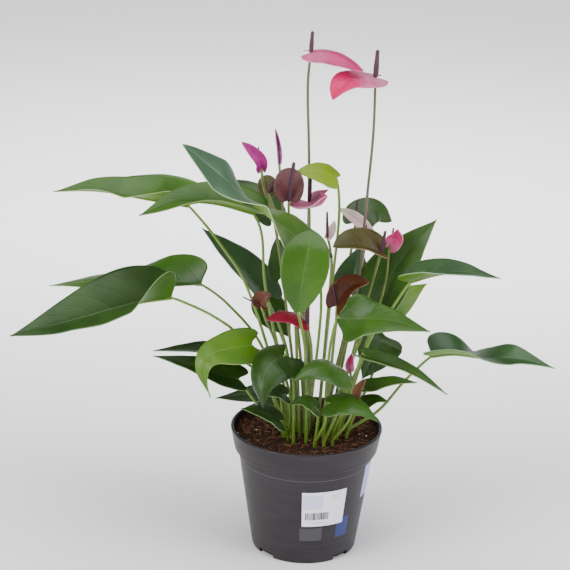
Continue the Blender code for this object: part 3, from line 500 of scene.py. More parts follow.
# Crumbs, bark chips and white perlite, in three meshes.
def scatterLumps(draw, edge):
    crumb = plainMaterial("crumb", soil["brown"], 0.95, soil["reddish"], 0.9, 3.3)
    shape = bmesh.new()
    for _ in range(soil["crumbs"]):
        spot = randomSpot(draw, edge)
        addLump(shape, draw, spot, 0.4 + 0.9 * draw.random() ** 2.2, draw.uniform(0.5, 0.9), 1, 0.35)
    linkPiece("soilCrumbs", meshFrom(shape, "soilCrumbs", False), [crumb])
    shape = bmesh.new()
    for _ in range(soil["chips"]):
        spot = randomSpot(draw, edge)
        addLump(shape, draw, spot, draw.uniform(1.2, 3.0), draw.uniform(0.25, 0.5), 2, 0.1)
    linkPiece("barkChips", meshFrom(shape, "barkChips"), [crumb])
    shape = bmesh.new()
    for _ in range(soil["perlite"]):
        spot = randomSpot(draw, edge)
        addLump(shape, draw, spot, draw.uniform(0.4, 0.95), draw.uniform(0.7, 0.95), 2, 0.1)
    white = plainMaterial("perliteGrain", soil["white"], 0.85, soil["whitest"], 0.6)
    linkPiece("perlite", meshFrom(shape, "perlite"), [white])


# Short coir fibres that lie on the soil, about twice as thick as real ones so that they show.
def scatterFibres(draw, edge):
    shape = bmesh.new()
    for _ in range(soil["fibres"]):
        x, y = randomSpot(draw, edge * 0.93)
        turn = draw.uniform(0, 2 * math.pi)
        places = []
        for _ in range(soil["fibreSteps"]):
            places.append(Vector((x, y, soilHeight(x, y) + 0.55)))
            turn += draw.uniform(-0.45, 0.45)
            x += math.cos(turn)
            y += math.sin(turn)
        if math.hypot(x, y) < edge - 1:
            addRod(shape, places, soil["fibreRadii"], 5, 0)
    coir = plainMaterial("coirFibre", soil["straw"], 0.85, soil["strawDark"], 0.8, 5.0)
    linkPiece("coirFibres", meshFrom(shape, "coirFibres"), [coir])


def makeSoil():
    edge = innerRadius(soil["top"]) - soil["gap"]
    shape = bmesh.new()
    profile = [(edge * i / soil["rings"], soil["top"]) for i in range(soil["rings"] + 1)]
    profile += [(innerRadius(h) - soil["gap"], h)
                for h in (pot["bodyTop"] + 5.5, pot["bodyTop"] - 0.3, soil["bottom"])]
    addTurned(shape, profile + [(0, soil["bottom"])], soil["sides"])
    for vert in shape.verts:
        if vert.co.z > (soil["top"] - 0.1) * mmToM:
            vert.co.z = soilHeight(vert.co.x / mmToM, vert.co.y / mmToM) * mmToM
    linkPiece("soilBody", meshFrom(shape, "soilBody"), [soilMaterial()], ["soil"])
    draw = random.Random(soil["seed"])
    scatterLumps(draw, edge)
    scatterFibres(draw, edge)


# The crown that all stems grow from, and the thickness of stems and blades.
plant = dict(
    crown=(8.0, -12.0), holeDepth=8.0, collarRise=5.0, bladeThick=0.8, tipHalfWidth=0.45,
    stalkThick=1.7, stalkThin=1.2, sideThick=1.4, gap=0.3, stalkSides=12, ribSides=8, spikeSides=16)

# The grid of a blade, and its soft wave, its groove along the midrib and its swell between veins.
blade = dict(rows=56, halfColumns=12, wave=0.2, waveCount=4.0, ribHeight=0.3, quilt=0.045, veinPairs=8)
spatheBlade = blade | dict(rows=36, halfColumns=9, waveCount=3.0, ribHeight=0.2, quilt=0.05, veinPairs=4)


def catmullRom(first, start, end, last, t):
    return 0.5 * (2 * start + (end - first) * t + (2 * first - 5 * start + 4 * end - last) * t ** 2
                  + (3 * start - first - 3 * end + last) * t ** 3)


# A smooth line through points, read by the share of its length.
class Path:
    def __init__(self, points, steps=16):
        points = [Vector(point) for point in points]
        held = [points[0] * 2 - points[1], *points, points[-1] * 2 - points[-2]]
        self.places = []
        for first, start, end, last in zip(held, held[1:], held[2:], held[3:]):
            self.places += [catmullRom(first, start, end, last, step / steps) for step in range(steps)]
        self.places.append(points[-1])
        self.lengths = [0.0]
        for one, two in zip(self.places, self.places[1:]):
            self.lengths.append(self.lengths[-1] + (two - one).length)

    def at(self, share):
        wanted = share * self.lengths[-1]
        index = 0
        while index < len(self.lengths) - 2 and self.lengths[index + 1] <= wanted:
            index += 1
        span = self.lengths[index + 1] - self.lengths[index]
        return self.places[index].lerp(self.places[index + 1], (wanted - self.lengths[index]) / span)

    def along(self, share):
        return (self.at(min(share + 0.04, 1.0)) - self.at(max(share - 0.04, 0.0))).normalized()


# A value at a share of the way along a list of them.
def between(values, share):
    place = share * (len(values) - 1)
    index = min(int(place), len(values) - 2)
    part = place - index
    if isinstance(values[0], tuple):
        return Vector(values[index]).lerp(Vector(values[index + 1]), part)
    return values[index] * (1 - part) + values[index + 1] * part


# The places and radii of a stem from its foot. A side stalk starts inside another.
def stemLine(root, middle, top, side=False):
    ring, angle = root[0], math.radians(root[1])
    x, y = plant["crown"][0] + ring * math.cos(angle), plant["crown"][1] + ring * math.sin(angle)
    foot = Vector((x, y, soil["top"] + 1 if side else soil["top"] - plant["holeDepth"] + plant["gap"]))
    path = Path([Vector((x, y, soil["top"] + plant["collarRise"])), *middle, *top])
    count = max(16, round(path.lengths[-1] / 5))
    places = [foot] + [path.at(i / count) for i in range(count + 1)]
    thick, thin = plant["sideThick" if side else "stalkThick"], plant["stalkThin"]
    radii = [thick] + [thick + (thin - thick) * (i / count) ** 0.5 for i in range(count + 1)]
    return places, radii


def halfWidth(spec, share):
    base, swell, tip = spec.get("base", 0.45), spec.get("swell", 0.55), spec.get("tip", 1.15)
    return (base + 1.35 * share ** swell) * (1 - share) ** tip


# What all the points of one row of a blade share.
def rowFrame(spec, path, share, widest):
    run = path.along(share)
    facing = between(spec["face"], share)
    up = (facing - run * facing.dot(run)).normalized()
    width = max(spec["wide"] / 2 * halfWidth(spec, share) / widest, plant["tipHalfWidth"])
    return path.at(share), run, up, run.cross(up), width


# The place of a blade's point, at side -1 to 1 across a row: folded, curled, waved and grooved.
def bladePoint(spec, row, share, side, look):
    place, run, up, right, width = row
    across = abs(side)
    turn = 1 if side > 0 else -1
    start = math.radians(between(spec["fold"], share))
    curl = spec["curl"][1 if turn > 0 else 0]
    if isinstance(curl, tuple):
        curl = between(curl, share)
    bend = math.radians(curl) * across
    middle = start + bend / 2
    chord = width * across * (math.sin(bend / 2) / (bend / 2) if abs(bend) > 1e-6 else 1.0)
    reach = spec["lobe"] * (1 - share) ** 3.5 * math.sin(math.pi / 2 * across) ** 2
    swell = look["quilt"] * abs(math.sin(math.pi * (share * look["veinPairs"] - across ** 1.3 * 1.9)))
    swell *= min(across * 6, 1.0) * min((1 - across) * 4, 1.0)
    wave = look["wave"] * math.sin(2 * math.pi * (look["waveCount"] * share + 0.3 * turn)) * across ** 3
    wave *= min(share * 5, 1.0) * min((1 - share) * 4, 1.0) * min(width / 12, 1.0)
    groove = -look["ribHeight"] * 0.5 * math.exp(-(across * width / 0.8) ** 2)
    normal = up * math.cos(middle) - right * turn * math.sin(middle)
    flat = place - run * reach + right * turn * chord * math.cos(middle) + up * chord * math.sin(middle)
    return flat + normal * (swell + wave + groove)


# A blade's sheet, a grid laid along its midrib with a UV map that follows it, and the midrib's path.
def bladeSheet(spec, rib, look):
    path = Path(rib)
    widest = max(halfWidth(spec, i / 50) for i in range(50))
    sheet = bmesh.new()
    layer = sheet.loops.layers.uv.new("blade")
    bmesh.ops.create_grid(sheet, x_segments=look["rows"], y_segments=look["halfColumns"] * 2, size=1.0)
    rows, sides = {}, {}
    for vert in sheet.verts:
        share = ((vert.co.x + 1) / 2) ** 1.2
        key = round(vert.co.x, 5)
        if key not in rows:
            rows[key] = rowFrame(spec, path, share, widest)
        sides[vert] = (key, share, math.copysign(abs(vert.co.y) ** 1.3, vert.co.y))
    for face in sheet.faces:
        for loop in face.loops:
            loop[layer].uv = (sides[loop.vert][1], (sides[loop.vert][2] + 1) / 2)
    for vert, (key, share, side) in sides.items():
        vert.co = mm(bladePoint(spec, rows[key], share, side, look))
    bmesh.ops.reverse_faces(sheet, faces=sheet.faces)
    bmesh.ops.triangulate(sheet, faces=sheet.faces)
    return meshFrom(sheet, "bladeSheet"), path


# Adds a sheet as a closed blade: slot 0 above, slot 1 below and slot 2 round its edge.
def addThickened(shape, sheet):
    piece = bpy.data.objects.new("sheet", sheet)
    bpy.context.scene.collection.objects.link(piece)
    for _ in range(3):
        sheet.materials.append(None)
    solidify = piece.modifiers.new("thickness", "SOLIDIFY")
    solidify.thickness = plant["bladeThick"] * mmToM
    solidify.offset = 0.0
    solidify.material_offset = 1
    solidify.material_offset_rim = 2
    addMesh(shape, applied(piece))


def newShape():
    shape = bmesh.new()
    shape.loops.layers.uv.new("blade")
    return shape


# Share along the midrib, and the distance from it as a share of the half's width.
def bladeCoordinates(tree):
    split = addNode(tree, "SeparateXYZ", {0: addNode(tree, "UVMap", uv_map="blade")}).node.outputs
    signed = addNode(tree, "Math", {0: split[1], 1: 2.0, 2: -1.0}, operation="MULTIPLY_ADD")
    return split[0], addNode(tree, "Math", {0: signed}, operation="ABSOLUTE")


# One on the side veins, which leave the midrib and curve towards the tip.
def veinMask(tree, along, across, pairs, slant, width):
    bent = addNode(tree, "Math", {0: across, 1: 1.3}, operation="POWER")
    swept = addNode(tree, "Math", {0: bent, 1: -slant}, operation="MULTIPLY")
    place = addNode(tree, "Math", {0: along, 1: float(pairs), 2: swept}, operation="MULTIPLY_ADD")
    distance = addNode(tree, "Math", {0: place, 1: 0.5}, operation="PINGPONG")
    return addNode(tree, "MapRange", {0: distance, 1: 0.0, 2: width, 3: 1.0, 4: 0.0},
                   interpolation_type="SMOOTHSTEP")


# Each side of a leaf: its colours from base to tip and of its veins, and how far each of them shows. Its
# pale edge colour is painted light, the glow through the thin margin.
leafSkin = dict(tipFrom=0.0, tipTo=0.9, tipShare=0.4, veinShare=0.04, ribWidth=0.02, ribShare=0.35,
                edgeShare=0.4, roughness=0.35, gloss=0.3, veinRelief=-0.4)
leafUnderside = leafSkin | dict(ribWidth=0.04, edgeShare=0.5, roughness=0.5, gloss=0.2, veinRelief=0.4)
leafColours = dict(
    mature=dict(
        above=leafSkin | dict(dark="#284A0B", light="#3C6212", tip="#2E500C", vein="#507424",
                              rib="#6A883E", edge="#7E9655"),
        below=leafUnderside | dict(dark="#4C7016", light="#648A26", tip="#5C8022", vein="#7C9A44",
                                   rib="#95AE66", edge="#A6B884")),
    middle=dict(
        above=leafSkin | dict(dark="#22400A", light="#345810", tip="#2C4C0E", vein="#44661E",
                              rib="#5C7C38", edge="#6E8A4C", gloss=0.36),
        below=leafUnderside | dict(dark="#426412", light="#587C1E", tip="#50741A", vein="#6E8E3A",
                                   rib="#8AA45C", edge="#9CB078")),
    # The bluish kind's blue-grey green upper side paints the reflection of the sky and lamps on leaves that
    # face up: painted reflection.
    bluishReflection=dict(
        above=leafSkin | dict(dark="#1E3818", light="#2E5024", tip="#26421C", vein="#3C5C30",
                              rib="#547248", edge="#789474", gloss=0.36, roughness=0.4),
        below=leafUnderside | dict(dark="#44680E", light="#5C8418", tip="#507616", vein="#708E38",
                                   rib="#8EA85E", edge="#A8BA84")),
    dark=dict(
        above=leafSkin | dict(dark="#182F08", light="#28460D", tip="#1C350A", vein="#34541C",
                              rib="#4A6832", edge="#64804C", roughness=0.36, gloss=0.28),
        below=leafUnderside | dict(dark="#2A480A", light="#3C6010", tip="#34560E", vein="#54782A",
                                   rib="#7A9650", edge="#8CA268")),
    # The top leaf's grey-green outer half paints the pale sheen on its far, upturned part: painted
    # reflection.
    top=dict(
        above=leafSkin | dict(dark="#2E500C", light="#426614", tip="#36543C", vein="#4C7024",
                              rib="#78924C", edge="#A0B080", tipFrom=0.3, tipTo=0.5, tipShare=0.95,
                              gloss=0.5, roughness=0.4),
        below=leafUnderside | dict(dark="#4C7016", light="#6C9030", tip="#5C8022", vein="#7C9A44",
                                   rib="#95AE66", edge="#B4C094")),
    young=dict(
        above=leafSkin | dict(dark="#365A08", light="#4A700E", tip="#547816", vein="#6A8A2C",
                              rib="#88A24C", edge="#94A85C", tipShare=0.5),
        below=leafUnderside | dict(dark="#5E861C", light="#7EA434", tip="#88AA40", vein="#9AB660",
                                   rib="#B4C884", edge="#BCCC94")),
    lime=dict(
        above=leafSkin | dict(dark="#5A7404", light="#708C08", tip="#78920F", vein="#9AB23C",
                              rib="#AABE5C", edge="#A8BC58", veinShare=0.15),
        below=leafUnderside | dict(dark="#647E08", light="#7C9812", tip="#849E1C", vein="#A2B848",
                                   rib="#B2C468", edge="#B2C468", veinShare=0.15)))

leafKinds = dict(
    leaf_lime_young="lime", leaf_left_drooping="young", leaf_low_right="middle",
    leaf_back_right_high="young", leaf_upper_left_far="mature", leaf_upper_left_near="mature",
    leaf_front_upright="mature", leaf_upper_right="middle", leaf_left_far="mature",
    leaf_top="top", leaf_lower_right="middle", leaf_right_high="bluishReflection", leaf_left_inner="bluishReflection",
    leaf_far_right="bluishReflection", leaf_front_centre="middle", leaf_low_front="middle",
    leaf_right_middle="middle", leaf_left_near="dark", leaf_back_upright="bluishReflection")


# Waxy aroid leaf: soft broad highlights, a pale midrib, faint side veins and a thin pale edge, which paints
# the light that shines through the thin margin.
def leafMaterial(name, look):
    material, tree, shader = newMaterial(name)
    along, across = bladeCoordinates(tree)
    place = addNode(tree, "TexCoord", out="Object")
    broad = addNode(tree, "TexNoise", {"Vector": place, "Scale": scaleFor(38.5), "Detail": 2.0})
    mottle = addNode(tree, "TexNoise", {"Vector": place, "Scale": scaleFor(2.4), "Detail": 3.0})
    cloud = addNode(tree, "MapRange", {0: broad, 1: 0.35, 2: 0.7}, interpolation_type="SMOOTHSTEP")
    tipward = addNode(tree, "MapRange", {0: along, 1: look["tipFrom"], 2: look["tipTo"]},
                      interpolation_type="SMOOTHSTEP")
    midrib = addNode(tree, "MapRange", {0: across, 1: 0.01, 2: look["ribWidth"], 3: 1.0, 4: 0.0},
                     interpolation_type="SMOOTHSTEP")
    # A thin pale band along the edge: painted light, the glow of light through the thin margin.
    edge = addNode(tree, "MapRange", {0: across, 1: 0.965, 2: 0.995}, interpolation_type="SMOOTHSTEP")
    veins = veinMask(tree, along, across, blade["veinPairs"], 1.9, 0.09)
    fineVeins = veinMask(tree, along, across, 31, 7.0, 0.4)
    base = layColours(tree, look["dark"], [
        (cloud, 1.0, look["light"]), (mottle, 0.25, look["light"]), (tipward, look["tipShare"], look["tip"]),
        (fineVeins, 0.08, look["vein"]), (veins, look["veinShare"], look["vein"]),
        (midrib, look["ribShare"], look["rib"]), (edge, look["edgeShare"], look["edge"])])
    rough = addNode(tree, "MapRange", {0: mottle, 3: look["roughness"] - 0.05, 4: look["roughness"] + 0.09})
    pores = addNode(tree, "Math", {0: mottle, 1: 0.25}, operation="MULTIPLY")
    relief = addNode(tree, "Math", {0: veins, 1: look["veinRelief"], 2: pores}, operation="MULTIPLY_ADD")
    wireSurface(tree, shader, base, rough, relief, 0.4, 0.5)
    shader.inputs["Specular IOR Level"].default_value = look["gloss"]
    return material


# Stems: the heights between which the colour turns from low to high, and the colour of the streaks. The
# darker low colour of leaf stalks and bloom stems is painted shade inside the crown; the tall stems turn
# brown as their own colour.
stems = dict(
    stalk=dict(low="#56701C", high="#668626", streak="#8AA44C", turnFrom=110, turnTo=240),
    bloom=dict(low="#587020", high="#66722C", streak="#84944C", turnFrom=110, turnTo=320),
    tall=dict(low="#5C6A26", high="#5E543C", streak="#787050", turnFrom=150, turnTo=300))


# Smooth fleshy stem: fine streaks run up it, under a thin wax coat that keeps it moist to the eye.
def stalkMaterial(name, look):
    material, tree, shader = newMaterial(name)
    place = addNode(tree, "TexCoord", out="Object")
    stretched = addNode(tree, "VectorMath", {0: place, 1: (1.0, 1.0, 0.06)}, operation="MULTIPLY")
    streaks = addNode(tree, "TexNoise", {"Vector": stretched, "Scale": scaleFor(1.1), "Detail": 2.0})
    height = addNode(tree, "SeparateXYZ", {0: place}, out=2)
    # Lighter higher up: on leaf stalks and bloom stems the darker foot is painted shade from the crown.
    up = addNode(tree, "MapRange", {0: height, 1: look["turnFrom"] * mmToM, 2: look["turnTo"] * mmToM},
                 interpolation_type="SMOOTHSTEP")
    lines = addNode(tree, "MapRange", {0: streaks, 1: 0.45, 2: 0.75}, interpolation_type="SMOOTHSTEP")
    base = layColours(tree, look["low"], [(up, 1.0, look["high"]), (lines, 0.5, look["streak"])])
    wireSurface(tree, shader, base, 0.45, streaks, 0.2, 0.4)
    shader.inputs["Coat Weight"].default_value = 0.15
    return material


# Each leaf: where its stalk roots in the crown (ring radius, angle), the points its stalk passes,
# the points of its midrib from base to tip, the ways the upper side faces from base to tip, the
# full width, how far the lobes reach back, the fold of the halves from base to tip (degrees, up
# is positive) and the curl of the left and the right half, each one value or values from base to tip.
leafShapes = {
    "leaf_upper_left_far": dict(
        root=(23, 165), stalk=[(-53, -8, 244), (-79, -6, 289)],
        rib=[(-110, 6, 323), (-144, 2, 329), (-188, -4, 337), (-228, -10, 337)],
        face=[(0, -0.3, 1), (0, -0.3, 1), (0, -0.3, 1)], wide=50, lobe=14,
        fold=(55, 48, 24, 38, 25), curl=((20, 0, 0), -8)),
    "leaf_upper_left_near": dict(
        root=(16, 172), stalk=[(-38, -6, 240), (-44, -6, 300)],
        rib=[(-52, -12, 323), (-85, -20, 333), (-116, -32, 336), (-149, -44, 327)],
        face=[(0, -0.3, 1), (0, -0.3, 1), (0, -0.8, 1)], wide=46, lobe=12,
        fold=(42, 38, 15), curl=(-6, -12)),
    "leaf_top": dict(
        root=(10, 225), stalk=[(10, -14, 230)],
        rib=[(6, -25, 285), (-14, -32, 308), (-42, -42, 333), (-66, -50, 355), (-110, -62, 395)],
        face=[(0.3, -0.7, 0.7), (0.1, -0.6, 1), (0.1, 0.2, 1), (0.3, -0.7, 0.8), (0.4, -0.6, 1)],
        wide=50, lobe=12,
        fold=(10, 5, 8, 12), curl=(-5, -26), swell=0.85, tip=0.8),
    "leaf_front_upright": dict(
        root=(23, 250), stalk=[(-2, -40, 195), (-6, -52, 228)],
        rib=[(-10, -66, 251), (-7, -66, 278), (-3, -60, 305), (0, -46, 319)],
        face=[(0, -1, 0.1), (0, -1, 0.3), (0, -0.7, 1)], wide=42, lobe=0,
        fold=(20, 10, 0), curl=(-5, -10), base=0.08, swell=0.9, tip=0.65),
    "leaf_upper_right": dict(
        root=(10, 10), stalk=[(46, 10, 196)],
        rib=[(58, 14, 231), (72, 12, 261), (90, 10, 289), (111, 8, 316)],
        face=[(-0.4, -1, 0.4), (-0.3, -1, 0.5)], wide=50, lobe=4,
        fold=(15, 8), curl=(5, 5), base=0.3),
    "leaf_right_high": dict(
        root=(23, -5), stalk=[(52, -20, 203), (70, -26, 238)],
        rib=[(88, -28, 269), (110, -34, 278), (134, -42, 283), (164, -50, 281)],
        face=[(-0.1, -0.2, 1), (0, -0.2, 1), (0, 0, 1)], wide=42, lobe=7,
        fold=(25, 15, 5), curl=(-5, (60, 10, -10))),
    "leaf_far_right": dict(
        root=(30, 0), stalk=[(66, -2, 135), (88, -4, 165)],
        rib=[(111, -8, 192), (132, -14, 197), (160, -20, 196), (188, -28, 199), (219, -36, 194)],
        face=[(0, -0.3, 1), (0, 0.3, 1), (0.1, -0.5, 1), (0, -0.1, 1)], wide=52, lobe=3,
        fold=(40, 2, 10, 3), curl=(5, (10, 20, 25))),
    "leaf_right_middle": dict(
        root=(23, -70), stalk=[(18, -42, 200)],
        rib=[(24, -50, 240), (44, -58, 243), (71, -66, 245), (104, -74, 239)],
        face=[(0, -1.3, 1), (0, -0.3, 1), (0, -0.2, 1), (0, -0.2, 1)], wide=48, lobe=-8,
        fold=(8, 2, 0), curl=(5, -12)),
    "leaf_front_centre": dict(
        root=(30, 286), stalk=[(31, -48, 162)],
        rib=[(35, -56, 191), (18, -70, 202), (2, -82, 203), (-13, -90, 196)],
        face=[(0, -0.5, 1), (0, -0.7, 1)], wide=36, lobe=3,
        fold=(-5, 0), curl=(-35, -30)),
    "leaf_lower_right": dict(
        root=(23, 310), stalk=[(38, -38, 165)],
        rib=[(47, -45, 205), (70, -56, 202), (94, -68, 197), (121, -80, 184)],
        face=[(0, -0.3, 1), (0.1, -0.2, 1)], wide=24, lobe=4,
        fold=(12, 8), curl=(-8, (25, 35, 20))),
    "leaf_low_right": dict(
        root=(30, -18), stalk=[(45, -23, 145)],
        rib=[(49, -26, 165), (62, -32, 169), (78, -38, 177), (97, -44, 180)],
        face=[(0, -0.3, 1), (0, -0.2, 1)], wide=24, lobe=5,
        fold=(20, 12), curl=(5, 5)),
    "leaf_low_front": dict(
        root=(30, 270), stalk=[(16, -50, 140)],
        rib=[(18, -58, 163), (32, -66, 168), (48, -74, 166), (63, -80, 156)],
        face=[(0.1, -0.7, 1), (0.3, -0.6, 1)], wide=27, lobe=6,
        fold=(0, 0), curl=(-25, -25)),
    "leaf_left_near": dict(
        root=(23, 182), stalk=[(-57, -10, 198), (-84, -16, 226)],
        rib=[(-123, -22, 246), (-155, -36, 244), (-204, -60, 236), (-256, -84, 228)],
        face=[(0, 0.1, 1), (0, -0.6, 1), (0, -0.6, 1), (0, -0.8, 1)], wide=70, lobe=4,
        fold=(55, 30, 26, 10), curl=((45, 22, 0, -5, -5), -12)),
    "leaf_left_far": dict(
        root=(30, 145), stalk=[(-43, 18, 187), (-75, 26, 224)],
        rib=[(-100, 32, 241), (-132, 40, 240), (-187, 52, 237), (-246, 66, 224)],
        face=[(0, -0.5, 1), (0, -0.2, 1), (0, -0.1, 1)], wide=58, lobe=4,
        fold=(45, 26, -6, 0, 4), curl=(-5, -10)),
    "leaf_front_left": dict(
        root=(30, 230), stalk=[(-13, -42, 180)],
        rib=[(-20, -56, 207), (-32, -70, 204), (-40, -82, 190), (-38, -88, 170)],
        face=[(-0.1, -0.8, 0.6), (-0.3, -1, 0.4), (-0.5, -1, 0)], wide=46, lobe=14,
        fold=(0, 0), curl=(-40, -60)),
    "leaf_left_drooping": dict(
        root=(30, 202), stalk=[(-26, -28, 168), (-40, -32, 192)],
        rib=[(-50, -36, 208), (-69, -46, 208), (-86, -56, 205), (-92, -62, 192), (-85, -64, 168)],
        face=[(0, -0.8, 1), (-0.1, -0.8, 1), (-1, -0.8, 0.5)], wide=40, lobe=10,
        fold=(8, 5, 25), curl=(-12, -15), tip=1.6),
    "leaf_left_dark": dict(
        root=(30, 174), stalk=[(-38, -2, 160)],
        rib=[(-62, -2, 182), (-88, -8, 190), (-113, -14, 193), (-140, -20, 194)],
        face=[(0, -0.1, 1), (0, 0, 1)], wide=34, lobe=8,
        fold=(22, 16), curl=(-5, -10)),
    "leaf_left_low": dict(
        root=(30, 188), stalk=[(-42, -22, 142)],
        rib=[(-62, -24, 170), (-86, -28, 178), (-112, -34, 188), (-138, -38, 196)],
        face=[(-0.2, -0.6, 1), (-0.2, -0.2, 1)], wide=34, lobe=8,
        fold=(12, 15), curl=(5, -10)),
    "leaf_small_left": dict(
        root=(30, 128), stalk=[(-17, 24, 125)],
        rib=[(-25, 30, 131), (-42, 30, 136), (-64, 28, 133), (-86, 26, 131)],
        face=[(0, -0.5, 1), (0, -0.3, 1)], wide=26, lobe=6,
        fold=(8, 4), curl=(-10, -10)),
    "leaf_on_rim_left": dict(
        root=(30, 216), stalk=[],
        rib=[(-22, -43, 138), (-32, -48, 147), (-44, -54, 153), (-58, -60, 157)],
        face=[(0, -0.4, 1), (0, -0.3, 1)], wide=28, lobe=3,
        fold=(8, 4), curl=(-15, -15)),
    "leaf_inner_left": dict(
        root=(23, 128), stalk=[(-22, 42, 178)],
        rib=[(-41, 42, 222), (-35, 38, 214), (-25, 35, 202), (-17, 34, 190)],
        face=[(0, -0.6, 1), (-0.2, -1, 0.2)], wide=32, lobe=8,
        fold=(8, 0), curl=(-12, -12)),
    "leaf_left_inner": dict(
        root=(23, 148), stalk=[(-20, 14, 186)],
        rib=[(-40, 27, 232), (-57, 26, 254), (-77, 24, 275), (-99, 21, 298)],
        face=[(0.4, -0.3, 1), (0.4, -0.5, 1)], wide=50, lobe=12,
        fold=(22, 12), curl=(-8, -8)),
    "leaf_behind_front": dict(
        root=(16, 125), stalk=[(-12, 12, 220)],
        rib=[(-24, 16, 257), (-27, 20, 272), (-30, 25, 281), (-32, 32, 289)],
        face=[(-0.2, -1, 0.3), (-0.2, -1, 0.5)], wide=28, lobe=5,
        fold=(8, 5), curl=(0, 0)),
    "leaf_back_upright": dict(
        root=(16, 70), stalk=[(33, 19, 203)],
        rib=[(36, 28, 237), (39, 32, 254), (42, 38, 267), (45, 46, 278)],
        face=[(0, -1, 0.6), (0, -1, 0.8)], wide=36, lobe=6,
        fold=(20, 11), curl=(-5, -5)),
    "leaf_back_right_high": dict(
        root=(23, 45), stalk=[(56, 40, 183)],
        rib=[(72, 52, 208), (85, 62, 219), (98, 74, 226), (111, 86, 230)],
        face=[(0.3, -0.8, 1), (0, -0.5, 1)], wide=28, lobe=6,
        fold=(15, 8), curl=(-5, -5)),
    "leaf_back_right_low": dict(
        root=(30, 40), stalk=[(52, 20, 140), (66, 30, 178)],
        rib=[(72, 34, 194), (66, 26, 191), (58, 14, 177), (50, 6, 162)],
        face=[(0.2, -0.4, 1), (0.3, -1, 0.3)], wide=44, lobe=3,
        fold=(5, 5), curl=(-10, -10)),
    "leaf_back_left": dict(
        root=(23, 97), stalk=[(-10, 48, 225), (-24, 52, 270)],
        rib=[(-37, 52, 304), (-50, 58, 318), (-63, 66, 326), (-78, 76, 330)],
        face=[(0.3, -0.8, 1), (0, -0.6, 1)], wide=34, lobe=8,
        fold=(8, 0), curl=(-8, -15)),
    "leaf_lime_young": dict(
        root=(4, 60), stalk=[(19, 2, 246), (24, 10, 316)],
        rib=[(21, 12, 350), (10, 9, 356), (-3, 6, 358), (-15, 4, 357)],
        face=[(0.5, -0.7, 1), (0, -0.7, 1), (0, -0.7, 1)], wide=26, lobe=4,
        fold=(-6, 0), curl=(-12, -12), tip=0.9),
}

# Small leaves that branch off a larger leaf's stalk just above the soil and are one piece with it.
sideLeaves = {
    "leaf_on_rim_left": dict(
        stalk=[(-15, -34, 142)],
        rib=[(-19, -36, 161), (-26, -40, 166), (-34, -44, 167), (-44, -48, 163)],
        face=[(0, -0.6, 1), (0, -0.3, 1)], wide=20, lobe=4, fold=(10, 5), curl=(-10, -10)),
    "leaf_low_front": dict(
        stalk=[(10, -46, 142)],
        rib=[(9, -54, 156), (2, -58, 163), (-6, -61, 166), (-15, -65, 164)],
        face=[(0, -0.6, 1), (0, -0.5, 1)], wide=18, lobe=4, fold=(10, 5), curl=(-10, -10)),
    "leaf_low_right": dict(
        stalk=[(42, -26, 138)],
        rib=[(47, -31, 150), (54, -34, 156), (63, -36, 160), (73, -38, 158)],
        face=[(0, -0.6, 1), (0, -0.3, 1)], wide=18, lobe=4, fold=(10, 5), curl=(-10, -10)),
}

madeLooks = {}


# The upper side, lower side, edge and stalk of one kind of leaf.
def leafLooks(name):
    kind = leafKinds.get(name, "dark")
    if kind not in madeLooks:
        look = leafColours[kind]
        # The edge material gives the blade's rim the pale edge colour, painted light through the margin.
        madeLooks[kind] = [
            leafMaterial(kind + "Above", look["above"]), leafMaterial(kind + "Below", look["below"]),
            plainMaterial(kind + "Edge", look["above"]["edge"], 0.5), stalkLook]
    return madeLooks[kind]


# One stalk and its blade, with the midrib raised below the blade and thinning to its tip.
def addLeaf(shape, root, spec, side=False):
    rib = [Vector(point) for point in spec["rib"]]
    sheet, path = bladeSheet(spec, rib, blade)
    addThickened(shape, sheet)
    knee = rib[0] + (rib[1] - rib[0]).normalized() * 4
    places, radii = stemLine(root, spec["stalk"], [rib[0], knee], side)
    under = rowFrame(spec, path, 0.02, 1.0)[2]
    for back, drop in ((1, 0.75), (2, 0.55), (3, 0.2)):
        places[-back] = places[-back] - under * drop  # the stalk's end stays below the blade
    radii[-1], radii[-2] = 0.7, 1.0
    addRod(shape, places, radii, plant["stalkSides"], 3)
    places, radii = [], []
    for step in range(28):
        share = step / 28 * 0.94
        row = rowFrame(spec, path, share, 1.0)
        radii.append(plant["stalkThin"] * 0.9 * (1 - share) ** 0.8 + 0.12)
        places.append(row[0] - row[2] * (radii[-1] - 0.05))
    addRod(shape, places, radii, plant["ribSides"], 3)


def makeLeaf(name, spec):
    shape = newShape()
    addLeaf(shape, spec["root"], spec)
    if name in sideLeaves:
        addLeaf(shape, spec["root"], sideLeaves[name], True)
    linkPiece(name + ".grown", meshFrom(shape, name), leafLooks(name), [name])


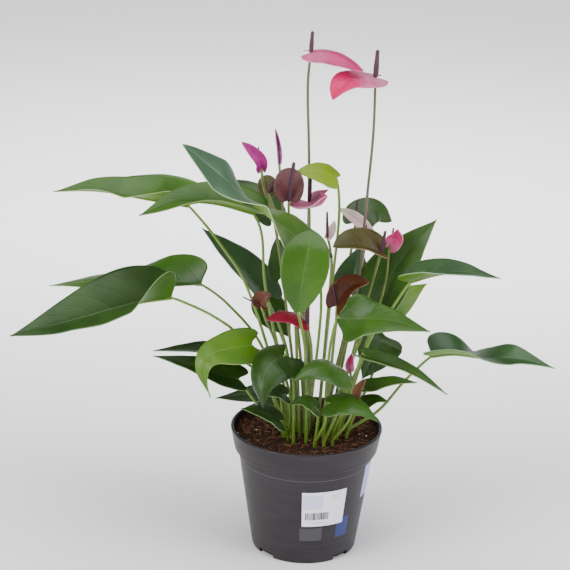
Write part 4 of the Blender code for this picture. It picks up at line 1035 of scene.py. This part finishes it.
# Each sheath: its colours, and how far its tip, its edge and the pale mottle at its heart show.
spatheSkin = dict(tipShare=0.5, edgeShare=0.4, roughness=0.38, mottle="#FFFFFF", mottleShare=0.0)
spatheColours = dict(
    spathe_pink=spatheSkin | dict(colour="#B4125E", deep="#900A48", tip="#B42060", pale="#D04888",
                                  edge="#EE9CC2", mottle="#C880A8", mottleShare=0.25),
    spathe_coral=spatheSkin | dict(colour="#CC1A64", deep="#AC0E4C", tip="#D01654", pale="#D84480",
                                   edge="#D87098", tipShare=0.8, mottle="#A87890", mottleShare=0.8),
    spathe_rose=spatheSkin | dict(colour="#B42C66", deep="#8E1A48", tip="#B4234E", pale="#D0709A",
                                  edge="#E0A0B8", mottle="#C08AA0", mottleShare=0.5),
    spathe_magenta=spatheSkin | dict(colour="#A81C7A", deep="#86105E", tip="#9C1E78", pale="#BC4494",
                                     edge="#BE4C9C"),
    bud_purple=spatheSkin | dict(colour="#8E3A72", deep="#74265A", tip="#6C2450", pale="#B87AA0",
                                 edge="#A8608C", mottle="#C8A0B8", mottleShare=0.6),
    hot_pink=spatheSkin | dict(colour="#DA2C74", deep="#B8185A", tip="#DC3C80", pale="#EC6CA4",
                               edge="#F09ABC", mottle="#E08CB0", mottleShare=0.4),
    spathe_crimson=spatheSkin | dict(colour="#931030", deep="#6C0A20", tip="#84102C", pale="#AC2C4A",
                                     edge="#A03850"),
    spathe_maroon=spatheSkin | dict(colour="#5C3230", deep="#462524", tip="#523230", pale="#6A423E",
                                    edge="#604444", tipShare=0.4, roughness=0.42),
    spathe_olive=spatheSkin | dict(colour="#3F3E13", deep="#382A0C", tip="#3A4013", pale="#504E24",
                                   edge="#746C46", roughness=0.42),
    spathe_green=spatheSkin | dict(colour="#2A4216", deep="#20340E", tip="#354E22", pale="#3E582A",
                                   edge="#7C9060", roughness=0.42),
    spathe_rust=spatheSkin | dict(colour="#53230E", deep="#3C1608", tip="#4A2C10", pale="#66381A",
                                  edge="#6C5038", tipShare=0.4),
    spathe_pale=spatheSkin | dict(colour="#D0C2B4", deep="#C0989E", tip="#B8BC90", pale="#DCD4C8",
                                  edge="#E0CCCC", roughness=0.45, mottle="#C89CA8", mottleShare=0.6),
    spathe_dry=spatheSkin | dict(colour="#6A4224", deep="#4A2A16", tip="#5A3820", pale="#806040",
                                 edge="#7A5A40", roughness=0.75))

# Small blooms whose colours differ from those of the node that they replace.
bloomKinds = dict(bloom_bud_upright="bud_purple", bloom_magenta_right="hot_pink")

spadix = dict(colour="#56283E", deep="#341224", pale="#704458")


# Waxy sheath of a bloom: deeper to its edge, with pale veins and streaks that a highlight picks out.
def spatheMaterial(name, look):
    material, tree, shader = newMaterial(name)
    along, across = bladeCoordinates(tree)
    place = addNode(tree, "TexCoord", out="Object")
    broad = addNode(tree, "TexNoise", {"Vector": place, "Scale": scaleFor(14.3), "Detail": 3.0})
    patchy = addNode(tree, "TexNoise", {"Vector": place, "Scale": scaleFor(6.7), "Detail": 3.0})
    cloud = addNode(tree, "MapRange", {0: broad, 1: 0.3, 2: 0.75}, interpolation_type="SMOOTHSTEP")
    tipward = addNode(tree, "MapRange", {0: along, 1: 0.15, 2: 1.0}, interpolation_type="SMOOTHSTEP")
    baseward = addNode(tree, "MapRange", {0: along, 1: 0.0, 2: 0.8, 3: 0.45, 4: 0.0},
                       interpolation_type="SMOOTHSTEP")
    heart = addNode(tree, "Math", {0: patchy, 1: 0.6, 2: baseward}, operation="MULTIPLY_ADD")
    heart = addNode(tree, "MapRange", {0: heart, 1: 0.4, 2: 0.75}, interpolation_type="SMOOTHSTEP")
    edge = addNode(tree, "MapRange", {0: across, 1: 0.9, 2: 1.0}, interpolation_type="SMOOTHSTEP")
    veins = veinMask(tree, along, across, 7, 2.4, 0.2)
    streaks = veinMask(tree, across, along, 12, 1.5, 0.5)
    base = layColours(tree, look["deep"], [
        (cloud, 1.0, look["colour"]), (tipward, look["tipShare"], look["tip"]),
        (heart, look["mottleShare"], look["mottle"]), (streaks, 0.14, look["pale"]),
        (veins, 0.22, look["pale"]), (edge, look["edgeShare"], look["edge"])])
    wireSurface(tree, shader, base, look["roughness"], veins, 0.3, 0.35)
    shader.inputs["Specular IOR Level"].default_value = 0.28
    return material


# Spike packed with tiny flowers, drawn 0.65 mm apart: a dull, finely beaded skin, deep in colour between the
# beads as painted shade.
def spadixMaterial():
    material, tree, shader = newMaterial("spadixSkin")
    place = addNode(tree, "TexCoord", out="Object")
    cells = addNode(tree, "TexVoronoi", {"Vector": place, "Scale": scaleFor(0.65)}, feature="F1")
    cloud = addNode(tree, "TexNoise", {"Vector": place, "Scale": scaleFor(6.25), "Detail": 2.0})
    # Each bead is lighter on its raised middle and deep between: painted shade in the gaps between the tiny
    # flowers.
    dots = addNode(tree, "MapRange", {0: cells, 1: 0.1, 2: 0.7, 3: 1.0, 4: 0.0},
                   interpolation_type="SMOOTHSTEP")
    base = layColours(tree, spadix["deep"], [(dots, 1.0, spadix["colour"]), (cloud, 0.35, spadix["pale"])])
    wireSurface(tree, shader, base, 0.6, dots, 0.3, 0.8)
    return material


# Each bloom: its stem as above, then its spathe's midrib as steps from the top of the stem, and
# the reach and the radius of its spadix.
bloomShapes = {
    "bloom_tall_left": dict(
        root=(4, 180), stalk=[(-2, 12, 240), (-4, 27, 356), (-7, 26, 427)], top=(-5, 24, 461),
        rib=[(0, 0, 0), (15, -3, 0), (31, -6, -5), (46, -8, -14)], spike=((1, 0, 18), 2.1),
        face=[(0, -0.4, 1), (0.1, -0.35, 1)], wide=25, lobe=8,
        fold=(-14, -6), curl=(-16, -16), colour="spathe_pink", parts=True, tallStem=True),
    "bloom_tall_right": dict(
        root=(10, 45), stalk=[(42, 14, 240), (47, 18, 305), (49, 20, 338), (52, 20, 390)],
        top=(52, 20, 441),
        rib=[(0, 0, 0), (-14, -5, -1), (-27, -10, -5), (-37, -15, -18)],
        spike=((1, 0, 24), 2.5), face=[(0, -0.2, 1), (0, -0.3, 1), (-0.8, -0.9, 0.7)],
        wide=34, lobe=9, fold=(-10, 12, 38), curl=(-14, -10), colour="spathe_coral",
        parts=True, tallStem=True),
    "bloom_middle": dict(
        root=(10, 180), stalk=[(-3, 2, 250), (-2, 8, 298)], top=(-3, 8, 330),
        rib=[(0, 0, 0), (4, -8, -1), (10, -14, 1), (16, -17, 10)], spike=((1, 0, 26), 1.9),
        face=[(0, -0.5, 1), (-0.4, 0, 1)], wide=42, lobe=12,
        fold=(8, 26), curl=(5, 10), colour="spathe_rose", parts=True),
    "bloom_olive": dict(
        root=(16, -8), stalk=[(48, -10, 230)], top=(62, -10, 290),
        rib=[(0, 0, 0), (-14, -5, 6), (-28, -12, 10), (-43, -20, 10)], spike=((3, 0, 20), 1.9),
        face=[(0, -0.5, 1), (0, -0.4, 1)], wide=38, lobe=4,
        fold=(30, 30, 25), curl=(-8, -8), colour="spathe_olive", parts=True),
    "bloom_rust": dict(
        root=(16, -60), stalk=[(23, -28, 218)], top=(24, -22, 243),
        rib=[(0, 0, 0), (6, -2, 14), (15, -5, 22), (28, -9, 26)], spike=((-5, -3, 21), 1.5),
        face=[(-0.4, -0.9, 0.5), (0, -0.6, 1)], wide=26, lobe=5,
        fold=(30, 25), curl=(-5, -10), colour="spathe_rust", parts=True),
    "bloom_magenta": dict(
        root=(16, 150), stalk=[(-30, 8, 290), (-43, 6, 340)], top=(-46, 4, 360),
        rib=[(0, 0, 0), (-1, -3, 8), (-8, -6, 17), (-17, -10, 26)], spike=((-3, 3, 19), 0.9),
        face=[(0.2, -1, 0.4), (0.2, -1, 0.4)], wide=12, lobe=4,
        fold=(15, 15), curl=(10, 10), colour="spathe_magenta", parts=True),
    "bloom_bud_upright": dict(
        root=(10, 135), stalk=[(-17, 8, 262), (-24, 14, 300), (-29, 26, 342)], top=(-31, 32, 358),
        rib=[(0, 0, 0), (-1, 0, 14), (-4, 2, 31)], spike=((0, 3, 10), 0.8),
        face=[(0.3, -1, 0), (0.3, -1, 0)], wide=8, lobe=1,
        fold=(45, 40), curl=(30, 30), colour="spathe_magenta", parts=False),
    "bloom_maroon": dict(
        root=(16, 210), stalk=[(-15, -10, 260), (-20, -10, 312)], top=(-21, -10, 335),
        rib=[(0, 0.5, 0), (0, 4, 9), (0, 9, 18), (0, 15, 26)], spike=((4, -3, 36), 2.3),
        face=[(0, -1, 0.2), (0, -1, 0.2)], wide=27, lobe=2,
        fold=(8, 5), curl=(5, 5), tip=0.5, colour="spathe_maroon", parts=False),
    "bloom_thin_purple": dict(
        root=(4, 300), stalk=[(18, -2, 260), (17, -2, 287)], top=(14, -2, 300),
        rib=[(0, 0, 0), (3, 2, 5), (6, 6, 14)], spike=((-1, 0, 24), 1.4),
        face=[(0, -1, 0.4), (0, -1, 0.4)], wide=8, lobe=2,
        fold=(20, 10), curl=(10, 10), colour="spathe_pale", parts=False),
    "bloom_pale": dict(
        root=(16, 30), stalk=[(46, 28, 262)], top=(49, 34, 298),
        rib=[(0, 0, 0), (-7, -3, 8), (-14, -5, 14), (-25, -6, 21)], spike=((1, 2, 18), 1.3),
        face=[(0.3, -1, 0.6), (0.3, -1, 0.8)], wide=14, lobe=10,
        fold=(25, 20), curl=(5, 5), colour="spathe_pale", parts=False),
    "bloom_olive_back": dict(
        root=(23, 66), stalk=[(26, 44, 210), (37, 56, 270)], top=(40, 56, 297),
        rib=[(0, 0, 0), (8, 8, 8), (20, 14, 9), (34, 18, -2)], spike=((1, -2, 22), 1.5),
        face=[(0, -0.8, 1), (0, -0.5, 1)], wide=34, lobe=6,
        fold=(10, 5), curl=(-10, -10), colour="spathe_green", parts=False),
    "bloom_magenta_right": dict(
        root=(23, 25), stalk=[(64, 4, 240)], top=(70, 4, 292),
        rib=[(0, 0, 0), (3, -2, 5), (6, -4, 11), (6, -7, 18)], spike=((3, 3, 16), 1.2),
        face=[(0, -1, 0.2), (-0.4, -1, 0)], wide=16, lobe=4,
        fold=(10, 15), curl=(15, 15), colour="spathe_rose", parts=False),
    "bloom_crimson": dict(
        root=(16, 240), stalk=[(3, -30, 195)], top=(-2, -34, 230),
        rib=[(0, 0, 0), (-10, -2, 6), (-21, -6, 9), (-35, -10, 6)], spike=((1, 0, 19), 2.0),
        face=[(0, -0.3, 1), (0, -0.3, 1)], wide=22, lobe=3,
        fold=(-5, 5), curl=(-15, -20), colour="spathe_crimson", parts=False),
    "bloom_small_brown": dict(
        root=(23, 200), stalk=[(-28, -20, 198), (-38, -24, 226)], top=(-43, -24, 241),
        rib=[(0, 0, 0), (-1, -4, 7), (3, -7, 12), (9, -8, 15)], spike=((-17, -8, 11), 0.9),
        face=[(-0.5, -1, 0.3), (-0.3, -1, 0.3)], wide=16, lobe=3,
        fold=(10, 5), curl=(-10, -10), colour="spathe_rust", parts=False),
    "bloom_round_brown": dict(
        root=(16, 100), stalk=[(-6, 30, 220), (-22, 40, 280), (-36, 38, 316)], top=(-40, 36, 329),
        rib=[(0, 0, 0), (-1, 2, 5), (-2, 4, 10), (-3, 7, 15)], spike=((5, -5, 14), 1.4),
        face=[(-0.1, -1, 0.2), (-0.1, -1, 0.2)], wide=18, lobe=3,
        fold=(5, 5), curl=(-5, -5), tip=0.5, colour="spathe_olive", parts=False),
    "bloom_bud_low": dict(
        root=(23, -30), stalk=[(38, -26, 164)], top=(38, -29, 185),
        rib=[(0, 0, 0), (-1, -1, 7), (1, -2, 17)], spike=((1, 3, 8), 1.2),
        face=[(0, -1, 0.1), (0, -1, 0.1)], wide=11, lobe=1,
        fold=(35, 30), curl=(25, 25), colour="spathe_rose", parts=False),
    "bloom_withered": dict(
        root=(30, 302), stalk=[(37, -43, 140)], top=(43, -50, 166),
        rib=[(0, 0, 0), (1, -1, 8), (4, -3, 15), (8, -5, 21)], spike=((-2, -2, 9), 0.8),
        face=[(0, -1, 0.3), (-0.4, -1, 0.2)], wide=9, lobe=2,
        fold=(25, 15), curl=(20, 10), colour="spathe_dry", parts=False),
}


def bloomLooks(name, spec):
    kind = bloomKinds.get(name, spec["colour"])
    if kind not in madeLooks:
        look = spatheColours[kind]
        madeLooks[kind] = [
            spatheMaterial(kind + "Above", look),
            spatheMaterial(kind + "Below", look | dict(deep=look["colour"], colour=look["pale"])),
            plainMaterial(kind + "Edge", look["edge"], 0.45)]
    return madeLooks[kind] + [tallStemLook if spec.get("tallStem") else bloomStemLook, spadixLook]


# The spadix: a blunt spike, a little thicker below its middle.
def addSpike(shape, base, away, radius):
    shares = [i / 22 for i in range(23)]
    radii = []
    for share in shares:
        body = 0.86 + 0.14 * math.sin(math.pi * min(share * 1.6, 1.0)) - 0.2 * share ** 2
        cap = math.sqrt(max(1 - max((share - 0.93) / 0.07, 0.0) ** 2, 0.02))
        radii.append(radius * body * cap)
    addRod(shape, [base + away * share for share in shares], radii, plant["spikeSides"], 4)


# A bloom in place of its node, or of its three nodes for the larger ones.
def makeBloom(name, spec):
    top = Vector(spec["top"])
    away, radius = Vector(spec["spike"][0]), spec["spike"][1]
    rib = [Vector(point) for point in spec["rib"]]
    sideways = (rib[1] - rib[0]).normalized()
    sideways.z = 0 if abs(sideways.z) < 0.9 else sideways.z
    origin = top - Vector((0, 0, 1.0)) + sideways.normalized() * (0 if spec["parts"] else 0.3)
    stemShape = newShape()
    sheetShape, spikeShape = (newShape(), newShape()) if spec["parts"] else (stemShape, stemShape)
    places, radii = stemLine(spec["root"], spec["stalk"], [top])
    addRod(stemShape, places, radii, plant["stalkSides"], 3)
    sheet, _ = bladeSheet(dict(base=0.4, tip=0.75) | spec, [origin + point for point in rib], spatheBlade)
    addThickened(sheetShape, sheet)
    addSpike(spikeShape, top - away.normalized() * 0.5, away, radius)
    looks = bloomLooks(name, spec)
    if not spec["parts"]:
        linkPiece(name + ".grown", meshFrom(stemShape, name), looks, [name])
        return
    for part, shape, slotName in (("stem", stemShape, "stem_green"), ("spathe", sheetShape, spec["colour"]),
                                  ("spadix", spikeShape, "spadix")):
        node = f"{name}_{part}"
        linkPiece(node + ".grown", meshFrom(shape, node), looks, [node])


print("camera, floor and light")
makeCamera()
makeFloor()
makeLights()

print("pot, prints and sticker")
makePot(potMaterial())
makeLabel()
makePrints()

print("soil")
makeSoil()

print("leaves")
stalkLook = stalkMaterial("leafStalk", stems["stalk"])
for name, spec in leafShapes.items():
    makeLeaf(name, spec)

print("blooms")
bloomStemLook = stalkMaterial("bloomStem", stems["bloom"])
tallStemLook = stalkMaterial("tallStem", stems["tall"])
spadixLook = spadixMaterial()
for name, spec in bloomShapes.items():
    makeBloom(name, spec)

print("finish")
